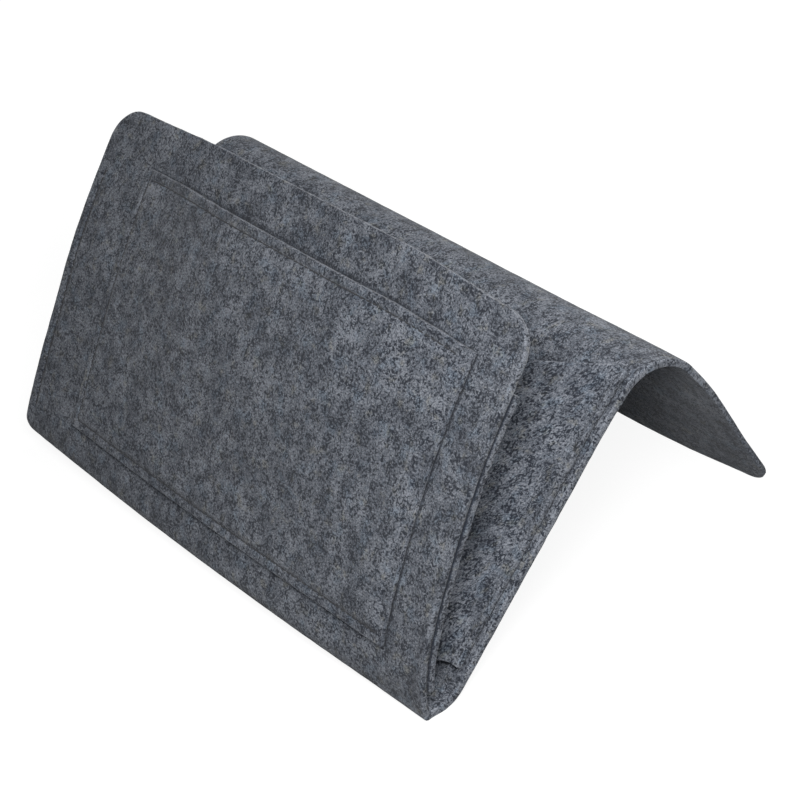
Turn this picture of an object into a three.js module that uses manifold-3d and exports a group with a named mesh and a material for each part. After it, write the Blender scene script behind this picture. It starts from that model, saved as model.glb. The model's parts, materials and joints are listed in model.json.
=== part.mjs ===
// Bedside caddy of thick felt, standing open like a tent.
// One long felt sheet makes the tongue, the back panel and the front panel. A gusset folded
// inwards joins the panels at each side, and a patch pocket is sewn on the front panel.
// Millimetres. The pieces are drawn in the back panel's frame: X to the right, Y to the rear,
// Z up along the back panel. The group at the end stands them on the floor, Z up.
import * as THREE from "three";
import { mergeVertices } from "three/addons/utils/BufferGeometryUtils.js";
import Module from "manifold-3d";

const wasm = await Module();
wasm.setup();

const rad = THREE.MathUtils.degToRad;

// Felt and gaps
const FELT = 3.5;
const GAP = 0.3;
const HALF = FELT / 2;

// Long sheet, sizes on its middle line from the tongue's free end to the front panel's top
const WIDTH = 320;
const TONGUE_LENGTH = 104;
const RIDGE_R = 22;
const RIDGE_TURN = rad(105);
const BACK_LENGTH = 143;
const HEEL_R = 16;
const HEEL_TURN = rad(90);
const TOE_R = 6.5;
const TOE_TURN = rad(68);
const FRONT_LENGTH = 171;
const FRONT_TURN = rad(13);
const CORNER_R = 24;

// Patch pocket on the front panel: its foot is measured from the panel's foot, and its shift
// is to the right of the panel's middle. The felt inside its seams is slack, most at the mouth.
const PATCH_WIDTH = 252;
const PATCH_HEIGHT = 134.5;
const PATCH_FOOT = 13.5;
const PATCH_SHIFT = 10;
const PATCH_SEAM = 4.5;
const PATCH_SLACK = 6.5;
const SLACK_EDGE = 2;
const SLACK_RAMP = 85;
const SLACK_MOUTH = 20;

// Gussets: a flange sewn to each panel, and two leaves that meet in a fold drawn inwards.
// The seams' feet are measured from the foot of the panel that carries them. The front flange
// is flush with the panel's edge, and the back flange is set back from it.
const FLANGE_WIDTH = 8;
const BACK_SETBACK = 4;
const SEAM_INSET = 6;
const BACK_SEAM_FOOT = 7;
const BACK_SEAM_LENGTH = 143;
const FRONT_SEAM_FOOT = 5;
const FRONT_SEAM_LENGTH = 134;
const FOLD_DEPTH_TOP = 62;
const FOLD_DEPTH_FOOT = 20;
const FOLD_DROP_TOP = 15;
const FOLD_DROP_FOOT = 4;
const FOLD_GAP = 0.6;
const FOLD_TRIM = 3.1;
const LEAF_SWING = rad(23);

// Sewing thread, laid in a groove that the stitches pull into the felt
const THREAD = 0.6;
const GROOVE_WIDTH = THREAD + 2 * GAP;
const GROOVE_DEPTH = THREAD + GAP;
const SEAM_END = 2;
const HEM_END = 4;

// Reach of a cutting tool past the felt
const CUT = 4;

// Colours
const FELT_FRONT = 0x585c63;
const FELT_BACK = 0x5f646c;
const FELT_UNDER = 0x54585e;
const THREAD_DARK = 0x2a2c30;

// Run of the sheet: each stretch has a length, a turn and a count of facets
const RUN = [
  { length: TONGUE_LENGTH, turn: 0, facets: 2 },
  { length: RIDGE_R * RIDGE_TURN, turn: RIDGE_TURN, facets: 14 },
  { length: BACK_LENGTH, turn: 0, facets: 2 },
  { length: HEEL_R * HEEL_TURN, turn: -HEEL_TURN, facets: 10 },
  { length: TOE_R * TOE_TURN, turn: -TOE_TURN, facets: 6 },
  { length: FRONT_LENGTH, turn: -FRONT_TURN, facets: 14 },
];

// Pose after a stretch: position in Y and Z, and heading
function advance([y, z, heading], length, turn) {
  if (turn === 0) {
    return [y + length * Math.cos(heading), z + length * Math.sin(heading), heading];
  }
  const r = length / turn;
  const end = heading + turn;
  return [y + r * (Math.sin(end) - Math.sin(heading)), z - r * (Math.cos(end) - Math.cos(heading)), end];
}

// The back panel's foot is the origin, and the sheet runs straight down through it
const heading = -Math.PI / 2 - RIDGE_TURN;
let pose = [0, 0, heading];
for (const stretch of RUN.slice(0, 3)) {
  pose = advance(pose, stretch.length, stretch.turn);
}
pose = [-pose[0], -pose[1], heading];
const grid = [];
let along = 0;
for (const stretch of RUN) {
  stretch.from = along;
  stretch.pose = pose;
  for (let i = 0; i < stretch.facets; i += 1) {
    grid.push(along + (stretch.length * i) / stretch.facets);
  }
  along += stretch.length;
  pose = advance(pose, stretch.length, stretch.turn);
}
grid.push(along);

// Stations on the middle line
const S_RIDGE = TONGUE_LENGTH + RUN[1].length / 2;
const S_BACK_FOOT = RUN[3].from;
const S_HINGE = RUN[4].from;
const S_FRONT_FOOT = RUN[5].from;
const S_TOP = along;

// Point of the sheet: across, along, and off its middle towards the outer face
function onSheet(x, s, off) {
  let stretch = RUN[0];
  for (const candidate of RUN) {
    if (s >= candidate.from) {
      stretch = candidate;
    }
  }
  const part = s - stretch.from;
  const [y, z, h] = advance(stretch.pose, part, (stretch.turn * part) / stretch.length);
  return new THREE.Vector3(x, y - off * Math.sin(h), z + off * Math.cos(h));
}

// Facet stations between two stations, both included
function stations(from, to) {
  const inner = grid.filter((s) => s > from + GAP && s < to - GAP);
  return [from, ...inner, to];
}

// Half-round edge: steps back from the edge's axis, with the half thickness at each
const ROUND = [20, 45, 70, 90].map((a) => {
  const angle = rad(a);
  return { back: HALF * Math.cos(angle), half: HALF * Math.sin(angle) };
});

// Closed slab over a grid of two parameters, between a low and a high face
function slab(us, vs, low, high) {
  const g = new THREE.BoxGeometry(1, 1, 1, us.length - 1, vs.length - 1, 1);
  const p = g.attributes.position;
  for (let i = 0; i < p.count; i += 1) {
    const u = us[Math.round((p.getX(i) + 0.5) * (us.length - 1))];
    const v = vs[Math.round((p.getY(i) + 0.5) * (vs.length - 1))];
    const q = p.getZ(i) > 0 ? high(u, v) : low(u, v);
    p.setXYZ(i, q.x, q.y, q.z);
  }
  return g;
}

// Slab of the sheet between two levels off its middle
function strip(x0, x1, s0, s1, n0, n1) {
  return slab([x0, x1], stations(s0, s1), (x, s) => onSheet(x, s, n0), (x, s) => onSheet(x, s, n1));
}

// Boolean solid of a closed geometry, turned to face out
function solid(geometry) {
  const g = geometry.clone();
  g.deleteAttribute("normal");
  g.deleteAttribute("uv");
  const merged = mergeVertices(g, 1e-5);
  const xyz = Float32Array.from(merged.attributes.position.array);
  const tri = Uint32Array.from(merged.index.array);
  const a = new THREE.Vector3();
  const b = new THREE.Vector3();
  const c = new THREE.Vector3();
  let volume = 0;
  for (let i = 0; i < tri.length; i += 3) {
    a.fromArray(xyz, 3 * tri[i]);
    b.fromArray(xyz, 3 * tri[i + 1]);
    c.fromArray(xyz, 3 * tri[i + 2]);
    volume += a.dot(b.cross(c));
  }
  if (volume < 0) {
    for (let i = 0; i < tri.length; i += 3) {
      [tri[i + 1], tri[i + 2]] = [tri[i + 2], tri[i + 1]];
    }
  }
  return new wasm.Manifold(new wasm.Mesh({ numProp: 3, vertProperties: xyz, triVerts: tri }));
}

function cut(body, ...tools) {
  return tools.reduce((rest, tool) => rest.subtract(solid(tool)), body);
}

function join(...pieces) {
  return pieces.map(solid).reduce((sum, piece) => sum.add(piece));
}

const felts = {
  front: new THREE.MeshStandardMaterial({ color: FELT_FRONT, roughness: 0.95, metalness: 0 }),
  back: new THREE.MeshStandardMaterial({ color: FELT_BACK, roughness: 0.95, metalness: 0 }),
  under: new THREE.MeshStandardMaterial({ color: FELT_UNDER, roughness: 0.95, metalness: 0 }),
  thread: new THREE.MeshStandardMaterial({ color: THREAD_DARK, roughness: 0.7, metalness: 0 }),
};

const caddy = new THREE.Group();

// Named mesh of a boolean solid
function piece(name, body, material) {
  const mesh = body.getMesh();
  const g = new THREE.BufferGeometry();
  g.setAttribute("position", new THREE.BufferAttribute(Float32Array.from(mesh.vertProperties), 3));
  g.setIndex(new THREE.BufferAttribute(Uint32Array.from(mesh.triVerts), 1));
  g.computeVertexNormals();
  const m = new THREE.Mesh(g, material);
  m.name = name;
  caddy.add(m);
}

// Cutter that rounds one corner of the sheet, at side -1 or 1 and at the end of the run
function corner(side, s, outward) {
  const r = CORNER_R;
  const shape = new THREE.Shape();
  shape.moveTo(-r, CUT);
  shape.lineTo(-r, 0);
  shape.absarc(-r, -r, r, Math.PI / 2, 0, true);
  shape.lineTo(CUT, -r);
  shape.lineTo(CUT, CUT);
  const depth = FELT + 2 * CUT;
  const g = new THREE.ExtrudeGeometry(shape, { depth, bevelEnabled: false, curveSegments: 10 });
  g.translate(0, 0, -depth / 2);
  const at = onSheet((side * WIDTH) / 2, s, 0);
  const normal = onSheet((side * WIDTH) / 2, s, 1).sub(at);
  const ex = new THREE.Vector3(side, 0, 0);
  const es = new THREE.Vector3().crossVectors(normal, new THREE.Vector3(1, 0, 0)).multiplyScalar(outward);
  g.applyMatrix4(new THREE.Matrix4().makeBasis(ex, es, normal).setPosition(at));
  return g;
}

// Panel of the sheet with a half-round edge at a fold, at its start or at its end
function panel(s0, s1, roundStart, roundEnd) {
  const rows = stations(s0, s1).map((s) => ({ s, half: HALF }));
  if (roundStart) {
    rows.splice(0, 1, ...ROUND.map((r) => ({ s: s0 - r.back, half: r.half })));
  }
  if (roundEnd) {
    rows.splice(-1, 1, ...ROUND.map((r) => ({ s: s1 + r.back, half: r.half })).reverse());
  }
  const edge = [-WIDTH / 2, WIDTH / 2];
  return slab(edge, rows, (x, row) => onSheet(x, row.s, -row.half), (x, row) => onSheet(x, row.s, row.half));
}

// Level of the flange's middle off the panel's middle, on the pocket side
const FLANGE_LEVEL = -(FELT + GAP);
const FLANGE_FACE = FLANGE_LEVEL - HALF;
const SEAM_X = WIDTH / 2 - SEAM_INSET;
const FLANGE_INNER = WIDTH / 2 - FLANGE_WIDTH;
const LEAF_X = FLANGE_INNER - HALF - GAP;

// Seams of the gussets on the run of the sheet
const seams = {
  back: {
    foot: S_BACK_FOOT - BACK_SEAM_FOOT,
    top: S_BACK_FOOT - BACK_SEAM_FOOT - BACK_SEAM_LENGTH,
  },
  front: {
    foot: S_FRONT_FOOT + FRONT_SEAM_FOOT,
    top: S_FRONT_FOOT + FRONT_SEAM_FOOT + FRONT_SEAM_LENGTH,
  },
};

// Groove or thread along a seam that runs up the sheet, on the face at the given level
function seamBar(x, s0, s1, face, wide, deep, up) {
  const n = face - Math.sign(face) * deep;
  const levels = [n, face + Math.sign(face) * up];
  return strip(x - wide / 2, x + wide / 2, Math.min(s0, s1), Math.max(s0, s1), ...levels);
}

function groove(x, s0, s1, face) {
  const from = Math.min(s0, s1) - GAP;
  const to = Math.max(s0, s1) + GAP;
  return seamBar(x, from, to, face, GROOVE_WIDTH, GROOVE_DEPTH, CUT);
}

function thread(x, s0, s1, face) {
  return seamBar(x, s0, s1, face, THREAD, THREAD, 0);
}

// Patch pocket: places of its edges and seams
const S_PATCH_FOOT = S_FRONT_FOOT + PATCH_FOOT;
const S_PATCH_TOP = S_PATCH_FOOT + PATCH_HEIGHT;
const PATCH_LEFT = PATCH_SHIFT - PATCH_WIDTH / 2;
const PATCH_RIGHT = PATCH_SHIFT + PATCH_WIDTH / 2;
const SEAM_LEFT = PATCH_LEFT + PATCH_SEAM;
const SEAM_RIGHT = PATCH_RIGHT - PATCH_SEAM;
const S_PATCH_SEAM = S_PATCH_FOOT + PATCH_SEAM;
const S_HEM = S_PATCH_TOP - PATCH_SEAM;
const PATCH_LEVEL = HALF + GAP;
const PATCH_FACE = PATCH_LEVEL + FELT;

// The patch lies flat along its seams and grows slack from there to its mouth
const X_SLACK = [SEAM_LEFT + SLACK_EDGE, SEAM_RIGHT - SLACK_EDGE];
const S_SLACK = [S_PATCH_SEAM + SLACK_EDGE, S_PATCH_TOP - SLACK_MOUTH];

function slack(x, s) {
  const side = Math.min(x - X_SLACK[0], X_SLACK[1] - x);
  const across = THREE.MathUtils.smoothstep(side, 0, SLACK_RAMP);
  return PATCH_SLACK * across * THREE.MathUtils.smoothstep(s, ...S_SLACK);
}

const RAMP_FACETS = 6;
const ramp = Array.from({ length: RAMP_FACETS + 1 }, (_, i) => (SLACK_RAMP * i) / RAMP_FACETS);
const slackXs = [...ramp.map((d) => X_SLACK[0] + d), ...ramp.map((d) => X_SLACK[1] - d).reverse()];
const patchXs = [PATCH_LEFT, ...slackXs, PATCH_RIGHT];
const patchRows = [
  S_PATCH_FOOT,
  ...stations(...S_SLACK),
  S_PATCH_TOP,
];

// Slab that follows the patch, between two levels off its inner face
function patchSlab(xs, rows, low, high) {
  const level = (x, s, n) => onSheet(x, s, PATCH_LEVEL + slack(x, s) + n);
  return slab(xs, rows, (x, s) => level(x, s, low), (x, s) => level(x, s, high));
}

// U of the patch's seam at a face level: two sides up the sheet and the foot across it
function patchSeam(face, wide, deep, up, grow) {
  const top = S_PATCH_TOP - SEAM_END + grow;
  const foot = S_PATCH_SEAM - wide / 2;
  const sign = Math.sign(face);
  const across = strip(
    SEAM_LEFT - wide / 2, SEAM_RIGHT + wide / 2, foot, foot + wide, face - sign * deep, face + sign * up,
  );
  return [
    seamBar(SEAM_LEFT, foot, top, face, wide, deep, up),
    seamBar(SEAM_RIGHT, foot, top, face, wide, deep, up),
    across,
  ];
}

// Bar along the patch's hem, of a width and between two levels, with its ends drawn out
function hemBar(wide, low, high, grow) {
  const end = HEM_END - grow;
  const xs = [SEAM_LEFT + end, ...slackXs.slice(1, -1), SEAM_RIGHT - end];
  return patchSlab(xs, [S_HEM - wide / 2, S_HEM + wide / 2], low, high);
}

// Long sheet: tongue, back panel and front panel, parted at its two folds
const sides = [-1, 1];
const grooveU = (face) => patchSeam(face, GROOVE_WIDTH, GROOVE_DEPTH, CUT, GAP);
piece("tongue", cut(solid(panel(0, S_RIDGE, false, true)), ...sides.map((k) => corner(k, 0, -1))), felts.under);
piece(
  "back_panel",
  cut(
    solid(panel(S_RIDGE + HALF + GAP, S_HINGE - HALF - GAP, false, false)),
    ...sides.map((k) => groove(k * SEAM_X, seams.back.top + SEAM_END, seams.back.foot - SEAM_END, HALF)),
  ),
  felts.back,
);
piece(
  "front_panel",
  cut(
    solid(panel(S_HINGE, S_TOP, true, false)),
    ...sides.map((k) => corner(k, S_TOP, 1)),
    ...sides.map((k) => groove(k * SEAM_X, seams.front.foot + SEAM_END, seams.front.top - SEAM_END, HALF)),
    ...grooveU(-HALF),
  ),
  felts.front,
);
piece(
  "patch_pocket",
  cut(
    solid(patchSlab(patchXs, patchRows, 0, FELT)),
    ...grooveU(PATCH_FACE),
    hemBar(GROOVE_WIDTH, FELT - GROOVE_DEPTH, FELT + CUT, GAP),
    hemBar(GROOVE_WIDTH, -CUT, GROOVE_DEPTH, GAP),
  ),
  felts.front,
);
piece("patch_seam_needle_thread", join(...patchSeam(PATCH_FACE, THREAD, THREAD, 0, 0)), felts.thread);
piece("patch_seam_bobbin_thread", join(...patchSeam(-HALF, THREAD, THREAD, 0, 0)), felts.thread);
piece("patch_hem_needle_thread", solid(hemBar(THREAD, FELT - THREAD, FELT, 0)), felts.thread);
piece("patch_hem_bobbin_thread", solid(hemBar(THREAD, 0, THREAD, 0)), felts.thread);

// Gussets: bend line of a leaf at its seam, at a share of the seam's height
function bend(which, u) {
  const { top, foot } = seams[which];
  return onSheet(LEAF_X, THREE.MathUtils.lerp(foot, top, u), FLANGE_LEVEL);
}

// The fold lies midway between the two bends, drawn inwards and a little down
function foldEnd(u, depth, drop) {
  const middle = bend("front", u).lerp(bend("back", u), 0.5);
  return middle.add(new THREE.Vector3(-depth, 0, -drop));
}

const foldFoot = foldEnd(0, FOLD_DEPTH_FOOT, FOLD_DROP_FOOT);
const foldTop = foldEnd(1, FOLD_DEPTH_TOP, FOLD_DROP_TOP);

// Leaf of a gusset from its bend to the fold, half-round along both. It turns about the straight
// line through the bend's ends, so where the bend bows off that line its edge is drawn back.
function leaf(which) {
  const { top, foot } = seams[which];
  const hinge = new THREE.Line3(bend(which, 0), bend(which, 1));
  const normal = foldFoot.clone().lerp(foldTop, 0.5).sub(bend(which, 0.5));
  normal.cross(hinge.delta(new THREE.Vector3())).normalize();
  const rows = [
    ...ROUND.map((r) => ({ share: 0, d: -r.back, half: r.half })),
    ...ROUND.map((r) => ({ share: 1, d: r.back, half: r.half })).reverse(),
  ];
  const place = (u, row, side) => {
    const from = bend(which, u);
    const bow = from.distanceTo(hinge.closestPointToPoint(from, true, new THREE.Vector3()));
    const across = foldFoot.clone().lerp(foldTop, u).sub(from);
    const halfWay = bend("front", u).distanceTo(bend("back", u)) / 2;
    const clear = HALF + FOLD_GAP / 2 + FOLD_TRIM * (1 - u);
    const length = across.length() * (1 - clear / halfWay);
    const drawn = bow * Math.sin(LEAF_SWING);
    const d = THREE.MathUtils.lerp(drawn, length, row.share) + row.d;
    return from.addScaledVector(across.normalize(), d).addScaledVector(normal, side * row.half);
  };
  const us = stations(Math.min(top, foot), Math.max(top, foot)).map((s) => (s - foot) / (top - foot));
  return slab(us, rows, (u, row) => place(u, row, -1), (u, row) => place(u, row, 1));
}

const mirror = (geometry, side) => geometry.applyMatrix4(new THREE.Matrix4().makeScale(side, 1, 1));
for (const [side, hand] of [[-1, "left"], [1, "right"]]) {
  for (const which of ["back", "front"]) {
    const { top, foot } = seams[which];
    const [s0, s1] = [Math.min(top, foot), Math.max(top, foot)];
    const [t0, t1] = [s0 + SEAM_END, s1 - SEAM_END];
    const edge = WIDTH / 2 - (which === "back" ? BACK_SETBACK : 0);
    const flange = strip(FLANGE_INNER, edge, s0, s1, FLANGE_FACE, FLANGE_LEVEL + HALF);
    const name = `${hand}_gusset_${which}`;
    const pocketFace = [mirror(groove(SEAM_X, t0, t1, FLANGE_FACE), side)];
    piece(`${name}_flange`, cut(solid(mirror(flange, side)), ...pocketFace), felts.back);
    piece(`${name}_leaf`, solid(mirror(leaf(which), side)), felts.back);
    const needle = which === "front" ? HALF : FLANGE_FACE;
    const bobbin = which === "front" ? FLANGE_FACE : HALF;
    piece(`${name}_needle_thread`, solid(mirror(thread(SEAM_X, t0, t1, needle), side)), felts.thread);
    piece(`${name}_bobbin_thread`, solid(mirror(thread(SEAM_X, t0, t1, bobbin), side)), felts.thread);
  }
}

// Stance: the heel of the bottom fold and the tongue's free end touch the floor
const heelAxis = onSheet(0, S_BACK_FOOT, -HEEL_R);
const tip = onSheet(0, 0, HALF).sub(heelAxis);
const lean = Math.atan2(tip.z, tip.y) + Math.asin((HEEL_R + HALF) / Math.hypot(tip.y, tip.z));
caddy.rotation.x = -lean;
caddy.updateMatrixWorld(true);
const box = new THREE.Box3().setFromObject(caddy, true);
caddy.position.set(0, -(box.min.y + box.max.y) / 2, -box.min.z);
caddy.updateMatrixWorld(true);

// Fold lines that the pieces turn about, in the standing frame
const line = (a, b) => {
  const p = caddy.localToWorld(a.clone());
  return { at: p.toArray(), axis: caddy.localToWorld(b.clone()).sub(p).normalize().toArray() };
};
caddy.userData.folds = {
  ridge: line(onSheet(0, S_RIDGE, 0), onSheet(1, S_RIDGE, 0)),
  bottom: line(onSheet(0, S_HINGE, 0), onSheet(1, S_HINGE, 0)),
  right_back: line(bend("back", 0), bend("back", 1)),
  right_front: line(bend("front", 0), bend("front", 1)),
};

export default caddy;
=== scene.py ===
"""Bedside caddy of thick mottled felt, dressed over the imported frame.

The felt pieces are closed shells over the flat shapes they are cut to: the long sheet that makes
the tongue, the back and the front panel, the patch pocket and the two folded gussets. Lock
stitches follow the seams. Metres, in the part's standing frame. A flat place is x across the long
sheet and the station s along it, from the tongue's free end to the front panel's top.
"""
import json
import logging
import math
from dataclasses import dataclass, field
from enum import Enum
from typing import Callable, Sequence

import bpy
import numpy as np
from mathutils import Euler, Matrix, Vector

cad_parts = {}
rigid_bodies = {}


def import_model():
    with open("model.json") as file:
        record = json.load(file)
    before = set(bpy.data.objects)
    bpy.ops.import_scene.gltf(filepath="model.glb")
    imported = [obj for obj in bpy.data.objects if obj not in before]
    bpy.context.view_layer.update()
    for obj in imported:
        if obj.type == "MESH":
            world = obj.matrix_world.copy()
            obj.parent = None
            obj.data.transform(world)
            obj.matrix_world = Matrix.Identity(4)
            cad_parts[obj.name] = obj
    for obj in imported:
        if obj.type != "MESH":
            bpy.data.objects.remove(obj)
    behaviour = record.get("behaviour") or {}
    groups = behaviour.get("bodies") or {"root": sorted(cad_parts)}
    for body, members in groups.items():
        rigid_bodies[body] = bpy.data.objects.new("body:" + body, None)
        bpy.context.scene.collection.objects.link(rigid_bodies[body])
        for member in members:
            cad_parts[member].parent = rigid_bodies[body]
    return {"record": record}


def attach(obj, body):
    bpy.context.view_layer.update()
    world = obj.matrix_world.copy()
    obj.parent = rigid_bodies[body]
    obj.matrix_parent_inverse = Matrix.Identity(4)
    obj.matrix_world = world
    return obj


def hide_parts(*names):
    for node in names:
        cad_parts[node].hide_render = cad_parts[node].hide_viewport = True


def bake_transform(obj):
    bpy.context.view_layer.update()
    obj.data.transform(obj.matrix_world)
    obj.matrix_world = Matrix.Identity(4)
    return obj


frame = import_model()

LOG = logging.getLogger("bedside_caddy")
MM = 0.001
Array = np.ndarray
Values = np.ndarray | float
Span = tuple[float, float]
Triple = tuple[float, float, float]
Surface = Callable[[Array, Array], Array]
Socket = bpy.types.NodeSocket

NUDGE = 0.2 * MM
CLEARANCE = 0.6
BESIDE_SEAM = np.array([-2.9, -2.0, -1.35, -0.85, -0.4, 0.0, 0.4, 0.85, 1.35, 2.0, 2.9]) * MM
BESIDE_EDGE = np.array([0.0, 0.8, 1.8]) * MM


class Hand(Enum):
    """Side of the caddy, with the sign of X there."""

    LEFT = -1
    RIGHT = 1


class Panel(Enum):
    """Panel of the long sheet that a gusset is sewn to."""

    BACK = "back"
    FRONT = "front"


class Face(Enum):
    """Face of the felt, with the sign of its level off the middle of the sheet."""

    POCKET = -1
    OUTER = 1


def unit(v: Array) -> Array:
    """Vectors scaled to a length of one."""
    return v / np.maximum(np.linalg.norm(v, axis=-1, keepdims=True), 1e-12)


def ease(x: Values, low: float, high: float) -> Values:
    """Smooth step from 0 at low to 1 at high."""
    t = np.clip((x - low) / (high - low), 0.0, 1.0)
    return t * t * (3.0 - 2.0 * t)


def hump(x: Array, rise: float, full: float, fall: float, end: float) -> Array:
    """Smooth step up from rise to full, and down again from fall to end."""
    return ease(x, rise, full) * (1.0 - ease(x, fall, end))


def normals(surface: Surface, x: Array, s: Array) -> Array:
    """Unit normals of a surface.

    Args:
        surface: points at flat places.
        x: places across.
        s: stations along.

    Returns:
        The normal at each place.
    """
    across = surface(x + NUDGE, s) - surface(x - NUDGE, s)
    along = surface(x, s + NUDGE) - surface(x, s - NUDGE)
    return unit(np.cross(across, along))


def merged(fine: Array, base: Array, step: float, digits: int) -> Array:
    """Fine grid places, with the ends of an even base and its places that keep clear of them.

    Args:
        fine: places that are all kept.
        base: even places.
        step: spacing of the even places in the open field.
        digits: decimals that the places are rounded to.

    Returns:
        Rising grid places.
    """
    clear = np.abs(base[:, None] - fine[None]).min(axis=1) > CLEARANCE * step
    clear[[0, -1]] = True
    return np.unique(np.round(np.concatenate([fine, base[clear]]), digits))


def even(low: float, high: float, step: float) -> Array:
    """Even places from low to high, about one step apart."""
    return np.linspace(low, high, max(2, round((high - low) / step) + 1))


def ticks(low: float, high: float, step: float, seams: Sequence[float] = ()) -> Array:
    """Grid places from low to high, closer at edges and beside seams, where they may pass low."""
    fine = [low + BESIDE_EDGE, high - BESIDE_EDGE, *(seam + BESIDE_SEAM for seam in seams)]
    return merged(np.concatenate(fine), even(low, high, step), step, 7)


class Relief:
    """Seeded lattice noise for the unevenness of felt."""

    CELLS = 128
    START = (17.3, 41.9)

    def __init__(self, seed: int) -> None:
        """Fills the lattice."""
        self.lattice = np.random.default_rng(seed).uniform(-1.0, 1.0, (self.CELLS, self.CELLS))

    def at(self, u: Array, v: Array, size: float) -> Array:
        """Smooth noise from -1 to 1.

        Args:
            u: first flat coordinate.
            v: second flat coordinate.
            size: spacing of the lattice.

        Returns:
            Noise at each place.
        """
        a, b = u / size + self.START[0], v / size + self.START[1]
        i, j = np.floor(a).astype(int), np.floor(b).astype(int)
        f, g = ease(a - i, 0.0, 1.0), ease(b - j, 0.0, 1.0)
        n, m = self.lattice, self.CELLS
        low = n[i % m, j % m] * (1 - f) + n[(i + 1) % m, j % m] * f
        high = n[i % m, (j + 1) % m] * (1 - f) + n[(i + 1) % m, (j + 1) % m] * f
        return low * (1 - g) + high * g


@dataclass(frozen=True)
class SheetSizes:
    """Sizes of the felt and of the long sheet on its middle line."""

    felt: float = 3.5 * MM
    gap: float = 0.3 * MM
    width: float = 320 * MM
    tongue: float = 104 * MM
    ridge_radius: float = 22 * MM
    ridge_turn: float = math.radians(105)
    back: float = 143 * MM
    heel_radius: float = 16 * MM
    heel_turn: float = math.radians(90)
    toe_radius: float = 6.5 * MM
    toe_turn: float = math.radians(68)
    front: float = 171 * MM
    front_turn: float = math.radians(13)

    @property
    def half(self) -> float:
        """Half the felt's thickness."""
        return self.felt / 2


@dataclass(frozen=True)
class Settling:
    """How the soft felt has settled away from straight folds.

    A span is where a move starts and is full, in shares of the half width from the middle line.

    Attributes:
        ridge_sag: fall of the ridge's middle, which reaches crest past the ridge.
        ridge_tilt: further fall of the ridge's right end, and rise of its left end.
        ridge_reach: how far the ridge's left end reaches outwards.
        hung: share of that reach at the tongue's free end and at the next three stations.
        end_lift: lift of the front's foot at its two ends, which reaches foot up the front.
        toe_bulge: how far the bottom fold's middle bulges out, which reaches toe up the front.
        droop: fall of the front's left top corner. right_droop is that of its right one.
        lean: move of the front's left edge, inwards at its top and outwards at its foot.
        tip_lift: lift of the tongue's right corner.
        tip_reach: how far that corner reaches to the rear.
        tip_turn: how far the tongue's free end lies back from that corner.
        tip_narrow: how far the tongue's right edge leans in at its free end.
        brow: how far the tongue bulges to the rear at the ridge's right end.
        tuck: how far the right end of the bottom fold is tucked to the rear.
        point: how far that end is drawn down to a crease.
    """

    ridge_sag: float = 1.2 * MM
    ridge_tilt: float = 1.8 * MM
    crest: float = 30 * MM
    ridge_reach: float = 6.2 * MM
    reach_span: Span = (0.3, 1.0)
    hung: tuple[float, ...] = (0.3, 1.0, 1.0, 0.0)
    end_lift: float = 3.2 * MM
    foot: float = 70 * MM
    toe_bulge: float = 1.8 * MM
    toe: float = 40 * MM
    droop: float = 3.4 * MM
    droop_span: Span = (0.4, 1.0)
    right_droop: float = 6.0 * MM
    right_droop_span: Span = (0.45, 0.95)
    lean: float = 2.0 * MM
    lean_foot: float = 0.9
    lean_span: Span = (0.2, 1.0)
    tip_lift: float = 2.2 * MM
    tip_span: Span = (0.6, 1.0)
    tip_reach: float = -1.3 * MM
    tip_turn: float = 3.2 * MM
    tip_turn_span: Span = (0.0, 0.65)
    tip_narrow: float = 4.0 * MM
    brow: float = 1.8 * MM
    brow_from: float = 75 * MM
    brow_at: float = 20 * MM
    tuck: float = 9.0 * MM
    tuck_from: float = 15 * MM
    tuck_at: float = 30.5 * MM
    tuck_fade: float = 14 * MM
    point: float = 0.8 * MM
    point_at: float = 19 * MM
    point_wide: float = 5 * MM
    end_span: Span = (0.5, 1.0)


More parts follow.
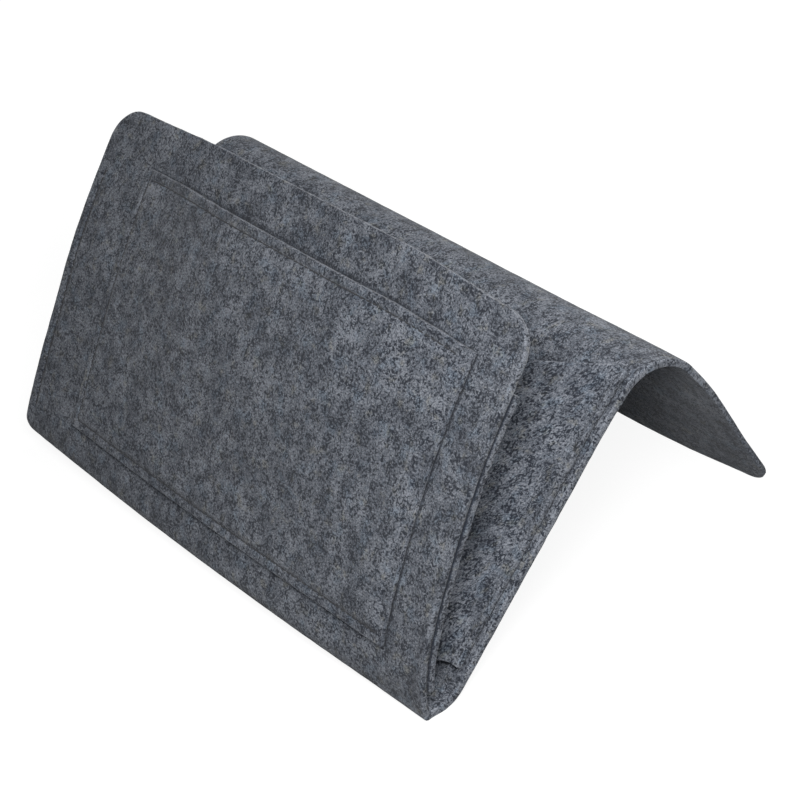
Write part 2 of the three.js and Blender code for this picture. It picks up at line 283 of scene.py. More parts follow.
class SheetRun:
    """Course of the long sheet: tongue, ridge, back, heel, toe and front.

    Attributes:
        stations: stations where these six stretches start, and the last one's end.
        ridge: station of the ridge's middle.
        back_foot: station of the back panel's foot.
        hinge: station of the bottom fold's line.
        front_foot: station of the front panel's foot.
        top: station of the front panel's top edge.
    """

    def __init__(self, sizes: SheetSizes, joints: Sequence[dict]) -> None:
        """Lays the course out and stands it on its two fold lines.

        Args:
            sizes: sizes of the sheet.
            joints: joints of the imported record.
        """
        self.sizes = z = sizes
        self.settling = Settling()
        lengths = np.array([
            z.tongue, z.ridge_radius * z.ridge_turn, z.back,
            z.heel_radius * z.heel_turn, z.toe_radius * z.toe_turn, z.front,
        ])
        turns = np.array([0.0, z.ridge_turn, 0.0, -z.heel_turn, -z.toe_turn, -z.front_turn])
        self.bends = turns / lengths
        self.stations = np.concatenate([[0.0], np.cumsum(lengths)])
        self.ridge = self.stations[1] + lengths[1] / 2
        self.back_foot, self.hinge, self.front_foot, self.top = self.stations[3:]
        first = -math.pi / 2 - z.ridge_turn
        self.headings = first + np.concatenate([[0.0], np.cumsum(turns)])
        self.starts = np.zeros((len(lengths), 2))
        for k in range(len(lengths) - 1):
            self.starts[k + 1] = self.flat_course(self.stations[k + 1], k)[:2]
        self.starts -= self.starts[3]
        places = {j["name"]: np.array(j["pos_m"][1:]) for j in joints}
        ridge, hinge = places["ridge_fold"], places["pocket_fold"]
        own_ridge = np.array(self.course(np.array(self.ridge))[:2])
        own_hinge = np.array(self.course(np.array(self.hinge))[:2])
        level = math.atan2(*(hinge - ridge)[::-1]) - math.atan2(*(own_hinge - own_ridge)[::-1])
        c, q = math.cos(level), math.sin(level)
        self.spin = np.array([[c, -q], [q, c]])
        self.shift = ridge - self.spin @ own_ridge

    def flat_course(self, s: Array, k: Array) -> tuple[Array, Array, Array]:
        """Course within given stretches, before the sheet is stood up.

        Args:
            s: stations.
            k: index of the stretch of each station.

        Returns:
            Y, Z and heading at each station.
        """
        part, bend, h0 = s - self.stations[k], self.bends[k], self.headings[k]
        h = h0 + bend * part
        safe = np.where(bend == 0, 1.0, bend)
        y = np.where(bend == 0, part * np.cos(h0), (np.sin(h) - np.sin(h0)) / safe)
        z = np.where(bend == 0, part * np.sin(h0), (np.cos(h0) - np.cos(h)) / safe)
        return self.starts[k, 0] + y, self.starts[k, 1] + z, h

    def course(self, s: Array) -> tuple[Array, Array, Array]:
        """Course at any stations, before the sheet is stood up."""
        k = np.searchsorted(self.stations, s, side="right") - 1
        return self.flat_course(s, np.clip(k, 0, len(self.starts) - 1))

    def place(self, x: Array, s: Array, off: Values = 0.0) -> Array:
        """Points of the standing sheet.

        Args:
            x: places across.
            s: stations along.
            off: level off its middle, towards the outer face.

        Returns:
            Points in the part's frame.
        """
        y, z, h = self.course(s)
        flat = np.stack(np.broadcast_arrays(y - off * np.sin(h), z + off * np.cos(h)), -1)
        stood = flat @ self.spin.T + self.shift
        across = np.broadcast_to(x, stood.shape[:-1])[..., None]
        return np.concatenate([across, stood], -1) + self.settle(x, s)

    def point(self, s: float) -> Array:
        """One point on the middle line of the sheet."""
        return self.place(np.array(0.0), np.array(s))

    def settle(self, x: Array, s: Array) -> Array:
        """Moves of the settled felt away from the straight course.

        Args:
            x: places across.
            s: stations along.

        Returns:
            Move of each place.
        """
        move, at, fold = self.settling, self.stations, self.stations[1]
        x, s = np.broadcast_arrays(np.asarray(x, float), np.asarray(s, float))
        side = x / (self.sizes.width / 2)
        end = ease(side, *move.end_span)
        crest = hump(s, fold - move.crest, self.ridge, self.ridge, at[2] + move.crest)
        brow = hump(s, fold - move.brow_from, fold - move.brow_at,
                    fold - move.brow_at, fold + move.brow_at)
        foot = hump(s, (at[3] + at[4]) / 2, at[5], at[5], at[5] + move.foot)
        toe = hump(s, at[3], at[4], at[5], at[5] + move.toe)
        hung = np.interp(s, at[:4], move.hung)
        tip = np.interp(s, at[:2], [1.0, 0.0])
        up = np.clip((s - at[5]) / (at[6] - at[5]), 0.0, 1.0)
        front = ease(s, at[4], at[5])
        droop = (move.droop * ease(-side, *move.droop_span)
                 + move.right_droop * ease(side, *move.right_droop_span))
        rise = (foot * move.end_lift * side**2 * (1.0 - end)
                - crest * (move.ridge_sag + move.ridge_tilt * side)
                - droop * ease(up, 0.5, 1.0)
                + move.tip_lift * tip * ease(side, *move.tip_span))
        lean = (front * move.lean * (2.0 * up - move.lean_foot) * ease(-side, *move.lean_span)
                - hung * move.ridge_reach * ease(-side, *move.reach_span)
                - tip * move.tip_narrow * ease(side, *move.reach_span))
        low = s - at[3]
        fade = np.exp(np.minimum(0.0, move.tuck_at - low) / move.tuck_fade)
        tuck = move.tuck * end * ease(low, move.tuck_from, move.tuck_at) * fade
        point = move.point * end * np.exp(-(((low - move.point_at) / move.point_wide) ** 2))
        folded = np.stack([tuck, -point], -1) @ self.spin.T
        back = (tip * (move.tip_reach - move.tip_turn * ease(1.0 - side, *move.tip_turn_span))
                + move.brow * brow * end
                - move.toe_bulge * toe * (1.0 - side**2) + folded[..., 0])
        return np.stack([lean, back, rise + folded[..., 1]], -1)


@dataclass(frozen=True)
class Seam:
    """Line of lock stitches over flat felt.

    Attributes:
        path: corner points of the line, as flat places.
        pitch: length of a stitch with its gap.
        depth: how deep the stitches pull the felt in.
        spread: how far the pull reaches to each side.
        shows: how tight each leg of the line is drawn, from 0 to 1. A loose leg sinks in the felt.
        PULL: even share of the pull, and share that comes and goes with the stitches.
        SOFT: share and width of the soft hollow beside the groove.
        SUNK: depth of a loose and of a tight stitch, as shares of the groove's depth.
    """

    path: tuple[tuple[float, float], ...]
    pitch: float = 4.0 * MM
    depth: float = 0.75 * MM
    spread: float = 1.05 * MM
    shows: tuple[float, ...] = (1.0, 1.0, 1.0)
    PULL = (0.8, 0.2)
    SOFT = (0.22, 3.2)
    SUNK = (1.25, 0.62)

    def reach(self, x: Array, s: Array) -> tuple[Array, Array, Array]:
        """Distance from the seam, distance along it and tightness.

        Args:
            x: places across.
            s: stations along.

        Returns:
            The distance to the line, the travel along it and its tightness, at each place.
        """
        best, travel, done = np.full(np.shape(x), 1.0), np.zeros(np.shape(x)), 0.0
        tight = np.ones(np.shape(x))
        for (x0, s0), (x1, s1), show in zip(self.path, self.path[1:], self.shows):
            dx, ds = x1 - x0, s1 - s0
            length = math.hypot(dx, ds)
            t = np.clip(((x - x0) * dx + (s - s0) * ds) / length**2, 0.0, 1.0)
            far = np.hypot(x - x0 - t * dx, s - s0 - t * ds)
            closer = far < best
            best = np.where(closer, far, best)
            travel = np.where(closer, done + t * length, travel)
            tight = np.where(closer, show, tight)
            done += length
        return best, travel, tight

    def groove(self, x: Array, s: Array) -> Array:
        """Depth of the groove that the stitches pull into the felt.

        Args:
            x: places across.
            s: stations along.

        Returns:
            Depth at each place, deepest where the needle goes through.
        """
        far, travel, tight = self.reach(x, s)
        pull = tight * (self.PULL[0] + self.PULL[1] * np.cos(2 * math.pi * travel / self.pitch))
        wide = self.SOFT[0] * np.exp(-((far / (self.SOFT[1] * self.spread)) ** 2))
        return self.depth * pull * (np.exp(-((far / self.spread) ** 2)) + wide)

    def stitches(self) -> tuple[Array, Array, Array]:
        """Middle, direction and depth of each stitch.

        Returns:
            The middles and the unit directions, as flat places, and the depths.
        """
        middles, ways, depths = [], [], []
        loose, tight = self.SUNK
        for a, b, show in zip(np.array(self.path), np.array(self.path[1:]), self.shows):
            length = float(np.hypot(*(b - a)))
            count = max(1, round(length / self.pitch))
            shares = (np.arange(count) + 0.5) / count
            middles.append(a + shares[:, None] * (b - a))
            ways.append(np.repeat(((b - a) / length)[None], count, axis=0))
            depths.append(np.full(count, self.depth * (tight * show + loose * (1.0 - show))))
        return np.concatenate(middles), np.concatenate(ways), np.concatenate(depths)


@dataclass
class Rim:
    """Edge loop of a felt grid.

    Attributes:
        loop: grid index of each loop vertex.
        out: its outward direction.
        flat_out: its outward direction on the flat felt.
        radius: radius of the cut edge there.
    """

    loop: Array
    out: Array
    flat_out: Array
    radius: Array


@dataclass
class FeltShell:
    """Closed felt of even thickness over a flat grid that a surface carries into place.

    Attributes:
        name: name of the piece.
        flat: grid of flat places, rows by columns by two.
        surface: point of the felt's middle at flat places.
        half: half the felt's thickness.
        outer: relief of the face on the side of the surface's normal.
        inner: relief of the other face.
        rounds: radius of the cut edge at the first row, last column, last row and first column.
            A side of radius 0 is left square, to meet another piece.
        seed: number that fixes the wander of the cut edge.
        wander: how far the cut edge wanders.
        lips: arris of the outer and of the inner face, as shares of the cut edge's radius.
        wear: how pale the cut edge is, from rubbing and painted highlight, 1 for plain and below 0
            for a dark edge of painted shade.
        seat: where the felt is sewn down on another, with painted shade in the gap on that arris,
            by this much.
        seat_side: face that is sewn down, 1 for the outer and -1 for the inner one.
        shade: painted shade on the outer face, from 0 to 1, on the grid.
    """

    name: str
    flat: Array
    surface: Surface
    half: float
    outer: Array
    inner: Array
    rounds: tuple[float, float, float, float]
    seed: int = 1
    wander: float = 0.12 * MM
    lips: tuple[float, float] = (0.7, 1.5)
    wear: Values = 1.0
    seat: Values = 0.0
    seat_side: int = -1
    shade: Values = 0.0
    STEPS = np.radians([30.0, 60.0, 90.0])
    BELLY = 0.06
    ARRIS_WEAR = 0.8
    # tone step of the painted shade in seam gaps and on the panel's outer face
    SEAT_SHADE = 3.4
    LONG_WAVE, SHORT_WAVE, SHORT_SHARE, SHORT_LANE = 7 * MM, 2.5 * MM, 0.6, 0.3
    INNER_UV = np.array([1.0, 0.37])

    @property
    def profile(self) -> list[tuple[float, float, float]]:
        """Rings of the cut edge from the outer to the inner face: move out, side and drop."""
        steps = [(math.sin(a) - 1, 1 - math.cos(a)) for a in self.STEPS]
        upper = [(e, 1.0, d) for e, d in steps]
        return upper + [(self.BELLY, 0.0, 0.0)] + [(e, -1.0, d) for e, d in steps[::-1]]

    def normal(self) -> Array:
        """Unit normals of the grid."""
        return normals(self.surface, self.flat[..., 0], self.flat[..., 1])

    def rim(self, middle: Array, normal: Array) -> Rim:
        """Edge loop of the grid.

        Args:
            middle: points of the grid, in one row.
            normal: their unit normals.

        Returns:
            The loop with its outward directions and radii.
        """
        rows, cols = self.flat.shape[:2]
        grid = np.arange(rows * cols).reshape(rows, cols)
        loop = np.concatenate([grid[0, :-1], grid[:-1, -1], grid[-1, :0:-1], grid[:0:-1, 0]])
        counts = [cols - 1, rows - 1, cols - 1, rows - 1]
        radius = np.repeat(self.rounds, counts)
        starts = np.concatenate([[0], np.cumsum(counts)[:-1]])
        for k, start in enumerate(starts):
            radius[start] = max(self.rounds[k], self.rounds[k - 1])

        def outward(points: Array, up: Array, swing: float) -> Array:
            """Outward directions of the loop, straight on where a cut side meets a square one."""
            ahead = unit(np.roll(points, -1, 0) - points)
            behind = np.roll(ahead, 1, 0)
            out = unit(np.cross(unit(ahead + behind), up)) * swing
            for k, start in enumerate(starts):
                before = self.rounds[k - 1]
                if self.rounds[k] == 0 and before > 0:
                    out[start] = -ahead[start]
                elif before == 0 and self.rounds[k] > 0:
                    out[start] = behind[start]
            return out

        at, up = middle[loop], normal[loop]
        lying = np.concatenate([self.flat.reshape(-1, 2)[loop], np.zeros((len(loop), 1))], 1)
        flat_up = np.repeat([[0.0, 0.0, 1.0]], len(loop), axis=0)
        inside = np.clip(loop // cols, 1, rows - 2) * cols + np.clip(loop % cols, 1, cols - 2)
        looks_in = np.einsum("ij,ij->", outward(at, up, 1.0), at - middle[inside]) < 0
        swing = -1.0 if looks_in else 1.0
        return Rim(loop, outward(at, up, swing), outward(lying, flat_up, swing)[:, :2], radius)

    def drift(self, edge: Array, radius: Array) -> Array:
        """Wander of the cut edge.

        Args:
            edge: points of the edge loop.
            radius: radius of the cut edge there.

        Returns:
            Outward move of each point.
        """
        noise = Relief(self.seed)
        along = np.cumsum(np.linalg.norm(np.diff(edge, axis=0, prepend=0), axis=1))
        move = noise.at(along, 0 * along, self.LONG_WAVE)
        lane = 0 * along + self.SHORT_LANE
        move = move + self.SHORT_SHARE * noise.at(along, lane, self.SHORT_WAVE)
        return np.where(radius > 0, self.wander * move, 0.0)

    def worn(self, rim: Rim, total: int) -> Array:
        """Tone offset of each vertex: above zero on pale rubbed edges and painted highlights, below
        it on painted shade.

        Args:
            rim: edge loop of the grid.
            total: number of vertices.

        Returns:
            Tone offset at each vertex.
        """
        shape, loop, square = self.flat.shape[:2], rim.loop, rim.radius == 0
        count = shape[0] * shape[1]
        # paleness of the cut edges, from rubbing and painted highlight, below 0 painted shade
        wear = np.where(square, 0.0, np.broadcast_to(self.wear, shape).ravel()[loop])
        seat = np.where(square, 0.0, np.broadcast_to(self.seat, shape).ravel()[loop])

        def seated(share: float) -> Array:
            """Tone offset of the sewn side's arris, with painted shade in the gap."""
            # painted shade in the gap where the felt lies on another
            return wear * (1.0 - seat * share) - self.SEAT_SHADE * seat * share

        worn = np.zeros(total)
        # painted shade on the outer face, in the pocket's slot and beside the patch's edge
        worn[:count] = -self.SEAT_SHADE * np.broadcast_to(self.shade, shape).ravel()
        worn[2 * count:] = np.concatenate([
            seated(1.0 - drop) if side == self.seat_side else wear
            for _, side, drop in self.profile])
        for side, first in ((1, 0), (-1, count)):
            on_seat = side == self.seat_side
            worn[loop + first] = seated(1.0) if on_seat else self.ARRIS_WEAR * wear
        return worn

    def mesh(self) -> bpy.types.Mesh:
        """Builds the closed mesh with its flat coordinates as a UV map, in metres.

        Returns:
            The mesh, facing outwards.
        """
        rows, cols = self.flat.shape[:2]
        count, half, flat = rows * cols, self.half, self.flat.reshape(-1, 2)
        points = self.surface(self.flat[..., 0], self.flat[..., 1]).reshape(-1, 3)
        normal = self.normal().reshape(-1, 3)
        rim = self.rim(points, normal)
        loop, out, square = rim.loop, rim.out, rim.radius == 0
        drift = self.drift(points[loop], rim.radius)
        lips = [rim.radius * np.where(rim.radius < half / 2, lip, 1.0) for lip in self.lips]
        levels = [half + self.outer.ravel(), half + self.inner.ravel()]
        verts = []
        for sign, lip, level in zip((1.0, -1.0), lips, levels):
            inset = np.zeros((count, 3))
            inset[loop] = out * (drift - lip)[:, None]
            verts.append(points + inset + sign * normal * level[:, None])
        size = len(loop)
        reach, last, before = np.zeros(size), -lips[0], np.full(size, half)
        uvs, bands = [flat[loop]], [loop]
        for k, (e, side, drop) in enumerate(self.profile):
            face = 1 if side < 0 else 0
            level = side * (levels[face][loop] - lips[face] * drop)
            # the rings of a square side are spaced evenly
            level = np.where(square, half * (0.75 - 0.25 * k), level)
            moved = lips[face] * e
            verts.append(points[loop] + out * (moved + drift)[:, None]
                         + normal[loop] * level[:, None])
            reach = reach + np.hypot(moved - last, level - before)
            last, before = moved, level
            uvs.append(uvs[0] + rim.flat_out * reach[:, None])
            bands.append(2 * count + k * size + np.arange(size))
        uvs.append(uvs[0] + rim.flat_out * (reach + half / 3)[:, None])
        bands.append(loop + count)
        verts = np.concatenate(verts)
        grid, ahead = np.arange(count).reshape(rows, cols), np.roll(np.arange(size), -1)
        top = np.stack([grid[:-1, :-1], grid[:-1, 1:], grid[1:, 1:], grid[1:, :-1]], -1)
        top = top.reshape(-1, 4)
        faces = [top, top[:, ::-1] + count]
        corners = [flat[top], flat[top[:, ::-1]] + self.INNER_UV]
        for a, b, ua, ub in zip(bands, bands[1:], uvs, uvs[1:]):
            faces.append(np.stack([a[ahead], a, b, b[ahead]], -1))
            corners.append(np.stack([ua[ahead], ua, ub, ub[ahead]], 1))
        quads, uv = np.concatenate(faces), np.concatenate(corners)
        p = verts[quads]
        turned = np.cross(p[:, 1], p[:, 2]) + np.cross(p[:, 2], p[:, 3])
        if np.einsum("ij,ij->", p[:, 0], turned) < 0:
            quads, uv = quads[:, ::-1], uv[:, ::-1]
        return as_mesh(self.name, verts, quads, uv, self.worn(rim, len(verts)))


def as_mesh(name: str, verts: Array, quads: Array, uv: Array, worn: Array) -> bpy.types.Mesh:
    """Smooth mesh of quads.

    Args:
        name: name of the mesh.
        verts: vertex places.
        quads: vertex indices of each face.
        uv: flat place of each face corner.
        worn: tone offset of each vertex, from rubbed edges and from painted light and shade.

    Returns:
        The mesh, sharp only at edges over 50 degrees.
    """
    mesh = bpy.data.meshes.new(name)
    mesh.from_pydata(verts.tolist(), [], quads.tolist())
    layer = mesh.uv_layers.new(name="FlatFelt")
    layer.data.foreach_set("uv", np.ascontiguousarray(uv, dtype=np.float32).ravel())
    # the layer holds pale rubbed edges, painted highlight and painted shade
    wear = mesh.attributes.new("worn", "FLOAT", "POINT")
    wear.data.foreach_set("value", worn.astype(np.float32))
    mesh.polygons.foreach_set("use_smooth", np.ones(len(quads), dtype=bool))
    mesh.set_sharp_from_angle(angle=math.radians(50))
    mesh.update()
    return mesh


def link(thing: bpy.types.Object) -> bpy.types.Object:
    """Puts an object in the scene and gives it back."""
    bpy.context.scene.collection.objects.link(thing)
    return thing


def add_piece(mesh: bpy.types.Mesh, material: bpy.types.Material) -> bpy.types.Object:
    """Puts a mesh in the scene as a piece of the caddy.

    Args:
        mesh: mesh of the piece, in place.
        material: its finish.

    Returns:
        The object, at the origin.
    """
    piece = link(bpy.data.objects.new(mesh.name, mesh))
    if not mesh.materials:
        mesh.materials.append(material)
    LOG.info("%s: %d faces", piece.name, len(mesh.polygons))
    return piece


class Graph:
    """Short way to add and link nodes of one tree."""

    def __init__(self, tree: bpy.types.NodeTree) -> None:
        """Keeps the tree."""
        self.tree = tree

    def fill(self, node: bpy.types.Node, inputs: dict) -> None:
        """Sets or links inputs of a node.

        Args:
            node: the node.
            inputs: value or output socket for each input, by name or by index.
        """
        for key, value in inputs.items():
            if isinstance(value, Socket):
                self.tree.links.new(value, node.inputs[key])
            else:
                node.inputs[key].default_value = value

    def add(self, kind: str, inputs: dict | None = None, **settings: object) -> bpy.types.Node:
        """Adds a node.

        Args:
            kind: identifier of the node's type.
            inputs: value or output socket for each input, by name or by index.
            settings: properties of the node.

        Returns:
            The node.
        """
        node = self.tree.nodes.new(kind)
        for key, value in settings.items():
            setattr(node, key, value)
        self.fill(node, inputs or {})
        return node

    def maths(self, operation: str, *values: object) -> Socket:
        """Adds a Math node and gives its result's socket."""
        return self.add("ShaderNodeMath", dict(enumerate(values)), operation=operation).outputs[0]

    def vectors(self, operation: str, inputs: dict) -> bpy.types.Node:
        """Adds a Vector Math node and gives it back."""
        return self.add("ShaderNodeVectorMath", inputs, operation=operation)

    def ramp(self, share: Socket, stops: Sequence[tuple[float, Triple]]) -> Socket:
        """Adds a colour ramp.

        Args:
            share: socket that the colour follows.
            stops: rising places and their colours.

        Returns:
            The colour's socket.
        """
        node = self.add("ShaderNodeValToRGB", {"Fac": share})
        band = node.color_ramp.elements
        for element, (at, colour) in zip((band[0], band[1]), (stops[0], stops[-1])):
            element.position, element.color = at, (*colour, 1.0)
        for at, colour in stops[1:-1]:
            band.new(at).color = (*colour, 1.0)
        return node.outputs["Color"]

    def seen(self) -> Socket:
        """Marks what is seen by the camera, straight or by reflection.

        Returns:
            The mask's socket.
        """
        path = self.add("ShaderNodeLightPath").outputs
        straight = self.maths("MAXIMUM", path["Is Camera Ray"], path["Is Glossy Ray"])
        return self.maths("MAXIMUM", straight, path["Is Transmission Ray"])


def new_material(name: str) -> tuple[bpy.types.Material, Graph, bpy.types.Node]:
    """New material.

    Args:
        name: its name.

    Returns:
        The material, its graph and its Principled BSDF.
    """
    material = bpy.data.materials.new(name)
    material.use_nodes = True
    nodes = material.node_tree.nodes
    shader = next(n for n in nodes if n.type == "BSDF_PRINCIPLED")
    return material, Graph(material.node_tree), shader


class FeltTree:
    """Shader group of mottled felt: dark flecks and short pale fibres laid every way.

    Attributes:
        PLAIN: size in millimetres, detail and roughness of the noises on the flat felt.
        WARPED: the same on the felt with strayed fibres.
        STRANDS: angle, length and width of the three lays of pale fibres.
        EDGES: where each mask starts and is full.
        WEIGHTS: middle and weight of each layer in the tone.
    """

    NAME = "Mottled felt"
    PLAIN = {"drift": (44.0, 1.0, 0.5), "cloud": (15.0, 2.0, 0.5), "tuft": (6.0, 2.0, 0.6),
             "grain": (0.9, 2.0, 0.6), "broken": (2.1, 1.0, 0.5), "warm": (7.0, 2.0, 0.6)}
    WARPED = {"fleck": (1.25, 1.0, 0.5), "curl": (3.0, 1.0, 0.5), "cool": (9.0, 2.0, 0.6)}
    STRAY_SIZE, STRAY = 2.4, (1.9, 1.9, 0.0)
    STRANDS = ((18, 2.3, 0.6), (-47, 2.0, 0.6), (83, 2.2, 0.6))
    EDGES = {"tuft": (0.38, 0.60), "bow": (0.015, 0.075), "broken": (0.44, 0.56),
             "spots": (0.60, 0.74), "warm": (0.58, 0.76), "cool": (0.52, 0.74)}
    CLUMPED, SPREAD, SPOT_LIFT, FLECK_HEIGHT = 0.75, 0.25, 0.12, -0.5
    WEIGHTS = {"pale": (0.6, 0.7), "drift": (0.5, 0.13), "cloud": (0.5, 0.40),
               "tuft": (0.5, 0.30), "grain": (0.5, 0.85)}
    # The last is the tone step of the vertex offset for rubbed edges, painted highlight and painted
    # shade.
    FLECK_TONE, BODY_TONE, CONTRAST, WEAR_TONE = -0.50, 0.592, 1.25, 0.12

    @classmethod
    def build(cls) -> bpy.types.NodeTree:
        """Makes the group once.

        Returns:
            The group, from flat places in metres and a vertex tone offset of rubbing, painted
            highlight and painted shade, to a tone, two tints and a height.
        """
        if cls.NAME in bpy.data.node_groups:
            return bpy.data.node_groups[cls.NAME]
        tree = bpy.data.node_groups.new(cls.NAME, "ShaderNodeTree")
        tree.interface.new_socket("Flat", in_out="INPUT", socket_type="NodeSocketVector")
        tree.interface.new_socket("Worn", in_out="INPUT", socket_type="NodeSocketFloat")
        for name in ("Tone", "Warm", "Cool", "Height"):
            tree.interface.new_socket(name, in_out="OUTPUT", socket_type="NodeSocketFloat")
        g = Graph(tree)
        given = g.add("NodeGroupInput").outputs
        mm = g.vectors("SCALE", {0: given["Flat"], "Scale": 1000.0}).outputs[0]

        def noise(at: Socket, size: float, detail: float, rough: float, out: str = "Fac") -> Socket:
            """Noise of one size."""
            inputs = {"Vector": at, "Scale": 1.0 / size, "Detail": detail, "Roughness": rough}
            return g.add("ShaderNodeTexNoise", inputs, noise_dimensions="2D").outputs[out]

        def mask(value: Socket, name: str) -> Socket:
            """Smooth step from 0 to 1 between a mask's edges."""
            low, high = cls.EDGES[name]
            inputs = {"Value": value, 1: low, 2: high, 3: 0.0, 4: 1.0}
            smooth = g.add("ShaderNodeMapRange", inputs, interpolation_type="SMOOTHSTEP")
            return smooth.outputs[0]

        tangle = noise(mm, cls.STRAY_SIZE, 1.0, 0.5, "Color")
        stray = g.vectors("SUBTRACT", {0: tangle, 1: (0.5, 0.5, 0.5)}).outputs[0]
        warped = g.vectors("MULTIPLY_ADD", {0: stray, 1: cls.STRAY, 2: mm}).outputs[0]
        layer = {name: noise(mm, *sizes) for name, sizes in cls.PLAIN.items()}
        layer |= {name: noise(warped, *sizes) for name, sizes in cls.WARPED.items()}
        lays = []
        for angle, length, width in cls.STRANDS:
            laid = g.add("ShaderNodeMapping", {
                "Vector": warped, "Rotation": (0.0, 0.0, math.radians(angle)),
                "Scale": (1.0 / length, 1.0 / width, 1.0)}).outputs[0]
            lays.append(noise(laid, 1.0, 1.0, 0.5))
        layer["pale"] = g.maths("MAXIMUM", g.maths("MAXIMUM", *lays[:2]), lays[2])
        clump = g.maths("SUBTRACT", 1.0, mask(layer["tuft"], "tuft"))
        bow = g.maths("ABSOLUTE", g.maths("SUBTRACT", layer["curl"], 0.5))
        line = g.maths("SUBTRACT", 1.0, mask(bow, "bow"))
        curls = g.maths("MULTIPLY", line, mask(layer["broken"], "broken"))
        dense = g.maths("MULTIPLY_ADD", clump, cls.CLUMPED, cls.SPREAD)
        spots = mask(g.maths("MULTIPLY_ADD", clump, cls.SPOT_LIFT, layer["fleck"]), "spots")
        flecks = g.maths("MAXIMUM", g.maths("MULTIPLY", curls, dense), spots)
        mixed = g.maths("MULTIPLY_ADD", flecks, cls.FLECK_TONE, cls.BODY_TONE)
        for name, (middle, weight) in cls.WEIGHTS.items():
            mixed = g.maths("MULTIPLY_ADD", g.maths("SUBTRACT", layer[name], middle), weight, mixed)
        strong = g.maths("MULTIPLY_ADD", mixed, cls.CONTRAST, (1.0 - cls.CONTRAST) / 2)
        g.add("NodeGroupOutput", {
            "Tone": g.maths("MULTIPLY_ADD", given["Worn"], cls.WEAR_TONE, strong),
            "Warm": mask(layer["warm"], "warm"),
            "Cool": mask(layer["cool"], "cool"),
            "Height": g.maths("MULTIPLY_ADD", flecks, cls.FLECK_HEIGHT,
                              g.maths("ADD", layer["grain"], layer["pale"]))})
        return tree


@dataclass(frozen=True)
class FeltFinish:
    """Felt of one slot, in linear colours from its dark flecks to its palest fibres.

    The brown tint is multiplied in on a few spots and the blue one in clouds.
    """

    slot: str
    dark: Triple = (0.020, 0.024, 0.034)
    shade: Triple = (0.060, 0.068, 0.086)
    body: Triple = (0.094, 0.105, 0.127)
    light: Triple = (0.142, 0.156, 0.184)
    pale: Triple = (0.27, 0.288, 0.325)
    brown: Triple = (1.06, 1.0, 0.87)
    blue: Triple = (0.92, 1.0, 1.05)
    bump: float = 0.5
    fibre: float = 0.35 * MM
    STOPS = (0.12, 0.36, 0.5, 0.66, 0.92)

    def material(self) -> bpy.types.Material:
        """Makes the material.

        Returns:
            A matte material that reads the piece's flat coordinates.
        """
        material, g, shader = new_material(self.slot)
        flat = g.add("ShaderNodeUVMap", uv_map="FlatFelt").outputs["UV"]
        # vertex offset: pale rubbed edges, painted highlight and painted shade
        worn = g.add("ShaderNodeAttribute", attribute_name="worn").outputs["Fac"]
        felt = g.add("ShaderNodeGroup", node_tree=FeltTree.build())
        g.fill(felt, {"Flat": flat, "Worn": worn})
        made = felt.outputs
        tones = (self.dark, self.shade, self.body, self.light, self.pale)
        shown = g.ramp(made["Tone"], tuple(zip(self.STOPS, tones)))
        for share, tint in ((made["Warm"], self.brown), (made["Cool"], self.blue)):
            mixed = g.add("ShaderNodeMix", data_type="RGBA", blend_type="MULTIPLY")
            g.fill(mixed, {0: share, 6: shown, 7: (*tint, 1.0)})
            shown = mixed.outputs[2]
        bump = g.add("ShaderNodeBump", {
            "Height": made["Height"], "Strength": self.bump, "Distance": self.fibre})
        g.fill(shader, {"Base Color": shown, "Normal": bump.outputs["Normal"], "Roughness": 0.95,
                        "Specular IOR Level": 0.2, "Sheen Weight": 0.12, "Sheen Roughness": 0.6})
        return material


@dataclass(frozen=True)
class ThreadFinish:
    """Dark twisted sewing thread, in linear colours. Its scale is fibres per metre."""

    slot: str = "thread"
    dark: Triple = (0.010, 0.011, 0.014)
    pale: Triple = (0.030, 0.032, 0.038)
    scale: float = 3800.0
    fibre: float = 0.1 * MM

    def material(self) -> bpy.types.Material:
        """Makes the material.

        Returns:
            A soft-sheened material with the thread's fine fibres.
        """
        material, g, shader = new_material(self.slot)
        place = g.add("ShaderNodeTexCoord").outputs["Object"]
        inputs = {"Vector": place, "Scale": self.scale, "Detail": 2.0}
        fibre = g.add("ShaderNodeTexNoise", inputs).outputs["Fac"]
        bump = g.add("ShaderNodeBump", {"Height": fibre, "Strength": 0.4, "Distance": self.fibre})
        colour = g.ramp(fibre, ((0.3, self.dark), (0.7, self.pale)))
        g.fill(shader, {"Base Color": colour, "Normal": bump.outputs["Normal"],
                        "Roughness": 0.7, "Sheen Weight": 0.1})
        return material


